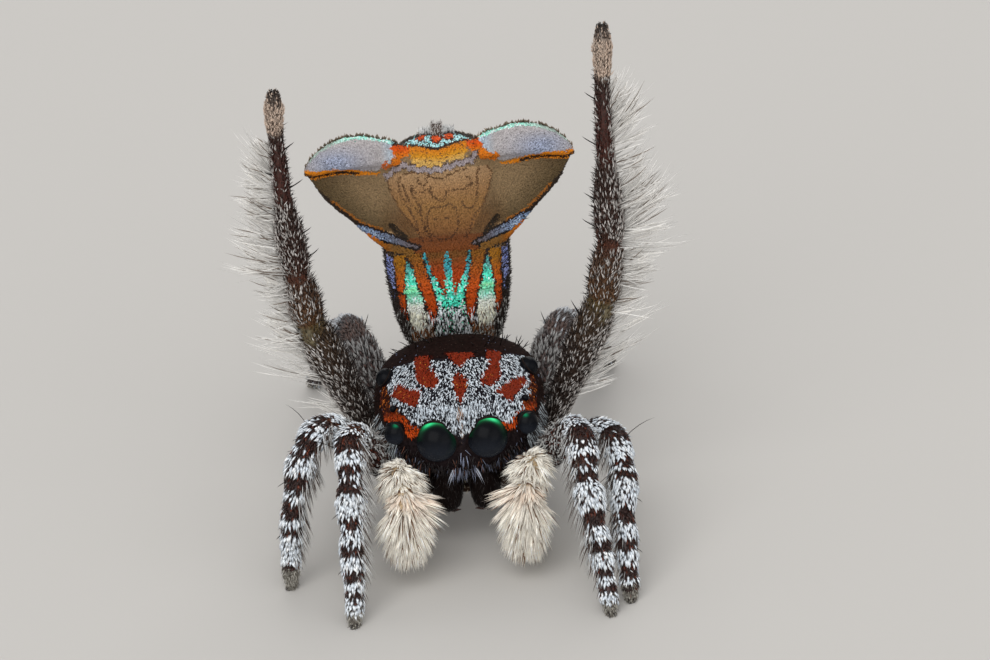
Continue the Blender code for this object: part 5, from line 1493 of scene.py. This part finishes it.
def make_fringe(leg, skin, draws, sign):
    """The long pale fringe on a raised leg's outer side, in clumps whose tips draw together."""
    tufts, each = FRINGE_TUFTS, HAIRS_IN_TUFT
    spread = np.sort(draws.uniform(*FRINGE_ENDS, tufts))
    turn = draws.uniform(-0.65, 0.5, tufts)
    lean, length = table_at(RAISED_FRINGE, spread)
    lean = np.radians(lean + draws.normal(0, 7, tufts))
    length = length * FRINGE_SHARE[leg] * draws.uniform(0.84, 1.34, tufts)

    def rooted(place, swing):
        """Points on the skin's outer side, the way out there and the limb's heading."""
        centre, heading = on_limb(skin, place)
        out = tangent(np.outer(np.cos(swing), (sign, 0, 0)) + np.outer(np.sin(swing), (0, -1.0, 0)), heading)
        radius = np.array([float(along(RAISED_SKIN, p)[0]) for p in place])
        return centre + out * (radius - 0.004)[:, None], out, heading

    middle, out, heading = rooted(spread, turn)
    tips = middle + length[:, None] * (heading * np.sin(lean)[:, None] + out * np.cos(lean)[:, None])
    place = np.clip(np.repeat(spread, each) + draws.normal(0, 0.035, tufts * each), 1.2, 4.95)
    swing = np.repeat(turn, each) + draws.normal(0, 0.22, tufts * each)
    roots, out, heading = rooted(place, swing)
    aim = np.repeat(tips, each, 0) + draws.normal(0, 0.034, roots.shape) - roots
    reach = np.linalg.norm(aim, axis=1) * draws.uniform(0.70, 1.0, len(place))
    bend = heading * draws.normal(0.12, 0.10, (len(place), 1)) - out * 0.05
    hairs = strands(roots, out, unit(aim), reach, 0.0125, bend, sections=4)
    colour = pick(draws.random(len(place)) < 0.92, paint(226, 223, 218), paint(120, 106, 94))
    spot = np.stack([np.mod(swing / (2 * np.pi) + 0.5, 1), place / 6], 1)
    add_coat(f"{leg}_fringe", [(hairs, vary(colour, draws, 0.14), spot)], "hair")


def make_claws():
    """Two small claws at each foot."""
    claws = []
    for leg, joints in LEGS.items():
        foot, ankle = np.array(joints[-1]), np.array(joints[-2])
        raised = leg.startswith("leg3")
        ahead = unit(foot - ankle)
        if not raised:
            ahead = unit(ahead * (1, 1, 0))
        across = unit(np.cross(ahead, (0.0, 0.3, 1.0)))
        lift = np.zeros(3) if raised else np.array([0.0, 0.0, 0.035])
        for sign in (1, -1):
            root = foot + lift + across * sign * 0.018 - ahead * 0.02
            tip = foot + lift * 0.5 + across * sign * 0.03 + ahead * 0.07
            claws.append(limb([root, (root + tip) / 2 + lift * 0.3, tip], 0.03,
                              [(0.0, 0.012), (1.0, 0.009), (2.0, 0.002)], 10))
    skin = merged(claws)
    add_piece("claws", skin["points"], skin["faces"], np.broadcast_to(paint(34, 24, 20), skin["points"].shape),
              "claw")


def make_palp(palp, seed):
    """A palp in cream hair: bunches in tiers, parted at its joint, over a short grey coat at its base."""
    draws = np.random.default_rng(seed)
    sign = math.copysign(1, PALPS[palp][0][0])
    skin = limb(PALPS[palp], PALP_ROUNDING, PALP_SKIN)
    places = skin["point_places"]
    tint = mix(np.broadcast_to(paint(64, 50, 40), (len(places), 3)), paint(196, 172, 138),
               grows(places, 1.5, 0.4))
    tint[np.abs(places - PALP_PARTING) < 0.08] = paint(96, 66, 48)
    add_skin(f"{palp}_skin", skin, tint, "palp_skin", [f"{palp}_femur", f"{palp}_cymbium"])

    each = HAIRS_IN_BUNCH
    g = limb_growth(skin, PALP_BUNCHES, draws, lambda place, normals, turn: (
        (place > 1.8) * (place < 4.78) * np.where(np.abs(place - PALP_PARTING) < 0.07, 0.05, 1.0)))
    lean, length, droop = table_at(PALP_HAIR, g.place)
    length = np.minimum(length, (5.04 - g.place) * PALP_TIP_LENGTH)
    tier = (g.place > PALP_TIER[0]) & (g.place < PALP_TIER[1])
    side = np.abs(g.out[:, 0])
    lean = np.radians(np.where(tier, lean * np.clip(0.38 + 0.75 * side, 0.35, 1.12), lean))[:, None]
    length = length * np.where(tier, np.clip(0.52 + 0.35 * side + 0.4 * (-sign * g.out[:, 0]), 0.45, 1.3), 1.0)
    knob = fades(g.place, 2.3, 0.3)[:, None] * (sign * 0.8, 0, 0)
    lie = unit(g.heading * np.cos(lean) + g.out * np.sin(lean) + knob + g.stray(0.085))
    tips = np.repeat(g.roots + lie * (length * g.even(0.85, 1.08))[:, None], each, 0)
    colour = mix(np.broadcast_to(CREAM, g.roots.shape), paint(242, 212, 188),
                 np.clip(1 - np.abs(g.place - 3.85) / 0.3, 0, 1) * 0.6)
    colour = np.repeat(vary(colour, draws, 0.10), each, 0)
    out, droop = np.repeat(g.out, each, 0), np.repeat(droop, each)
    aside = tangent(draws.normal(0, 1, tips.shape), out)
    roots = np.repeat(g.roots, each, 0) + aside * draws.uniform(0, 0.030, (len(tips), 1))
    aim = tips + draws.normal(0, 0.012, tips.shape) - roots
    bend = droop[:, None] * DOWN - out * 0.06
    reach = np.linalg.norm(aim, axis=1) * draws.uniform(0.78, 1.04, len(tips))
    hairs = strands(roots, out, unit(aim), reach, 0.0145, bend, fade=0.35)
    # A few brown strands among the cream: painted shade between the bunches
    colour = pick(draws.random(len(tips)) < 0.09, paint(122, 92, 68), colour)
    spot = np.repeat(g.spot, each, 0) + draws.uniform(-0.012, 0.012, (len(tips), 2))
    batches = [(hairs, vary(colour, draws, 0.12), spot)]

    g = limb_growth(skin, 500, draws, lambda place, normals, turn: (place > 0.6) & (place < 1.9))
    lie = g.heading + g.out * 0.5 + g.stray(0.2)
    grey = g.some(0.5, paint(150, 146, 140), paint(60, 50, 44))
    batches.append(g.hairs(lie, 0.09, 0.010, -0.1, grey, 0.2))
    add_coat(f"{palp}_hair_coat", batches, "hair")


def set_stage():
    """A pale floor, soft even surroundings and three soft lamps."""
    scene = bpy.context.scene
    mesh = bpy.data.meshes.new("floor")
    mesh.from_pydata([(-1, -1, 0), (1, -1, 0), (1, 1, 0), (-1, 1, 0)], [], [(0, 1, 2, 3)])
    floor = bpy.data.objects.new("floor", mesh)
    ground = bpy.data.materials.new("floor")
    ground.use_nodes = True
    ground.node_tree.nodes["Principled BSDF"].inputs["Base Color"].default_value = (0.52, 0.50, 0.47, 1)
    ground.node_tree.nodes["Principled BSDF"].inputs["Roughness"].default_value = 0.9
    mesh.materials.append(ground)
    scene.collection.objects.link(floor)
    world = bpy.data.worlds.new("studio")
    world.use_nodes = True
    world.node_tree.nodes["Background"].inputs["Color"].default_value = (0.97, 0.98, 1.0, 1)
    world.node_tree.nodes["Background"].inputs["Strength"].default_value = 0.62
    scene.world = world
    scene.view_settings.view_transform = "Standard"
    centre = Vector((np.array([0.0, -0.3, 2.0]) + SHIFT) * MM)
    for name, place, size, power in LAMPS:
        lamp = bpy.data.lights.new(name, "AREA")
        lamp.size = size
        lamp.energy = power
        holder = bpy.data.objects.new(name, lamp)
        holder.location = centre + Vector(place)
        holder.rotation_euler = (-Vector(place)).to_track_quat("-Z", "Y").to_euler()
        scene.collection.objects.link(holder)


def set_camera():
    """The photograph's view: 30 degrees down, the horizon turned by 4.8, from 120 mm away."""
    forward = unit(LOOK_AT - CAMERA_PLACE)
    level = np.array([1.0, 0, 0])
    upright = np.cross(level, forward)
    right = level * math.cos(HORIZON_TURN) - upright * math.sin(HORIZON_TURN)
    up = level * math.sin(HORIZON_TURN) + upright * math.cos(HORIZON_TURN)
    camera = bpy.data.cameras.new("camera")
    camera.lens = LENS
    camera.sensor_width = SENSOR
    camera.clip_start = 0.01
    camera.clip_end = 5.0
    holder = bpy.data.objects.new("camera", camera)
    turned = Matrix([right, up, -forward]).transposed().to_4x4()
    holder.matrix_world = Matrix.Translation(Vector((CAMERA_PLACE + SHIFT) * MM)) @ turned
    bpy.context.scene.collection.objects.link(holder)
    bpy.context.scene.camera = holder


make_carapace()
make_eyes()
make_small_parts()
make_fan()
for number, name in enumerate(LEGS):
    if name.startswith("leg3"):
        make_raised_leg(name, SEEDS["legs"] + number)
    else:
        make_walking_leg(name, SEEDS["legs"] + number)
make_claws()
for number, name in enumerate(PALPS):
    make_palp(name, SEEDS["palps"] + number)
set_stage()
set_camera()
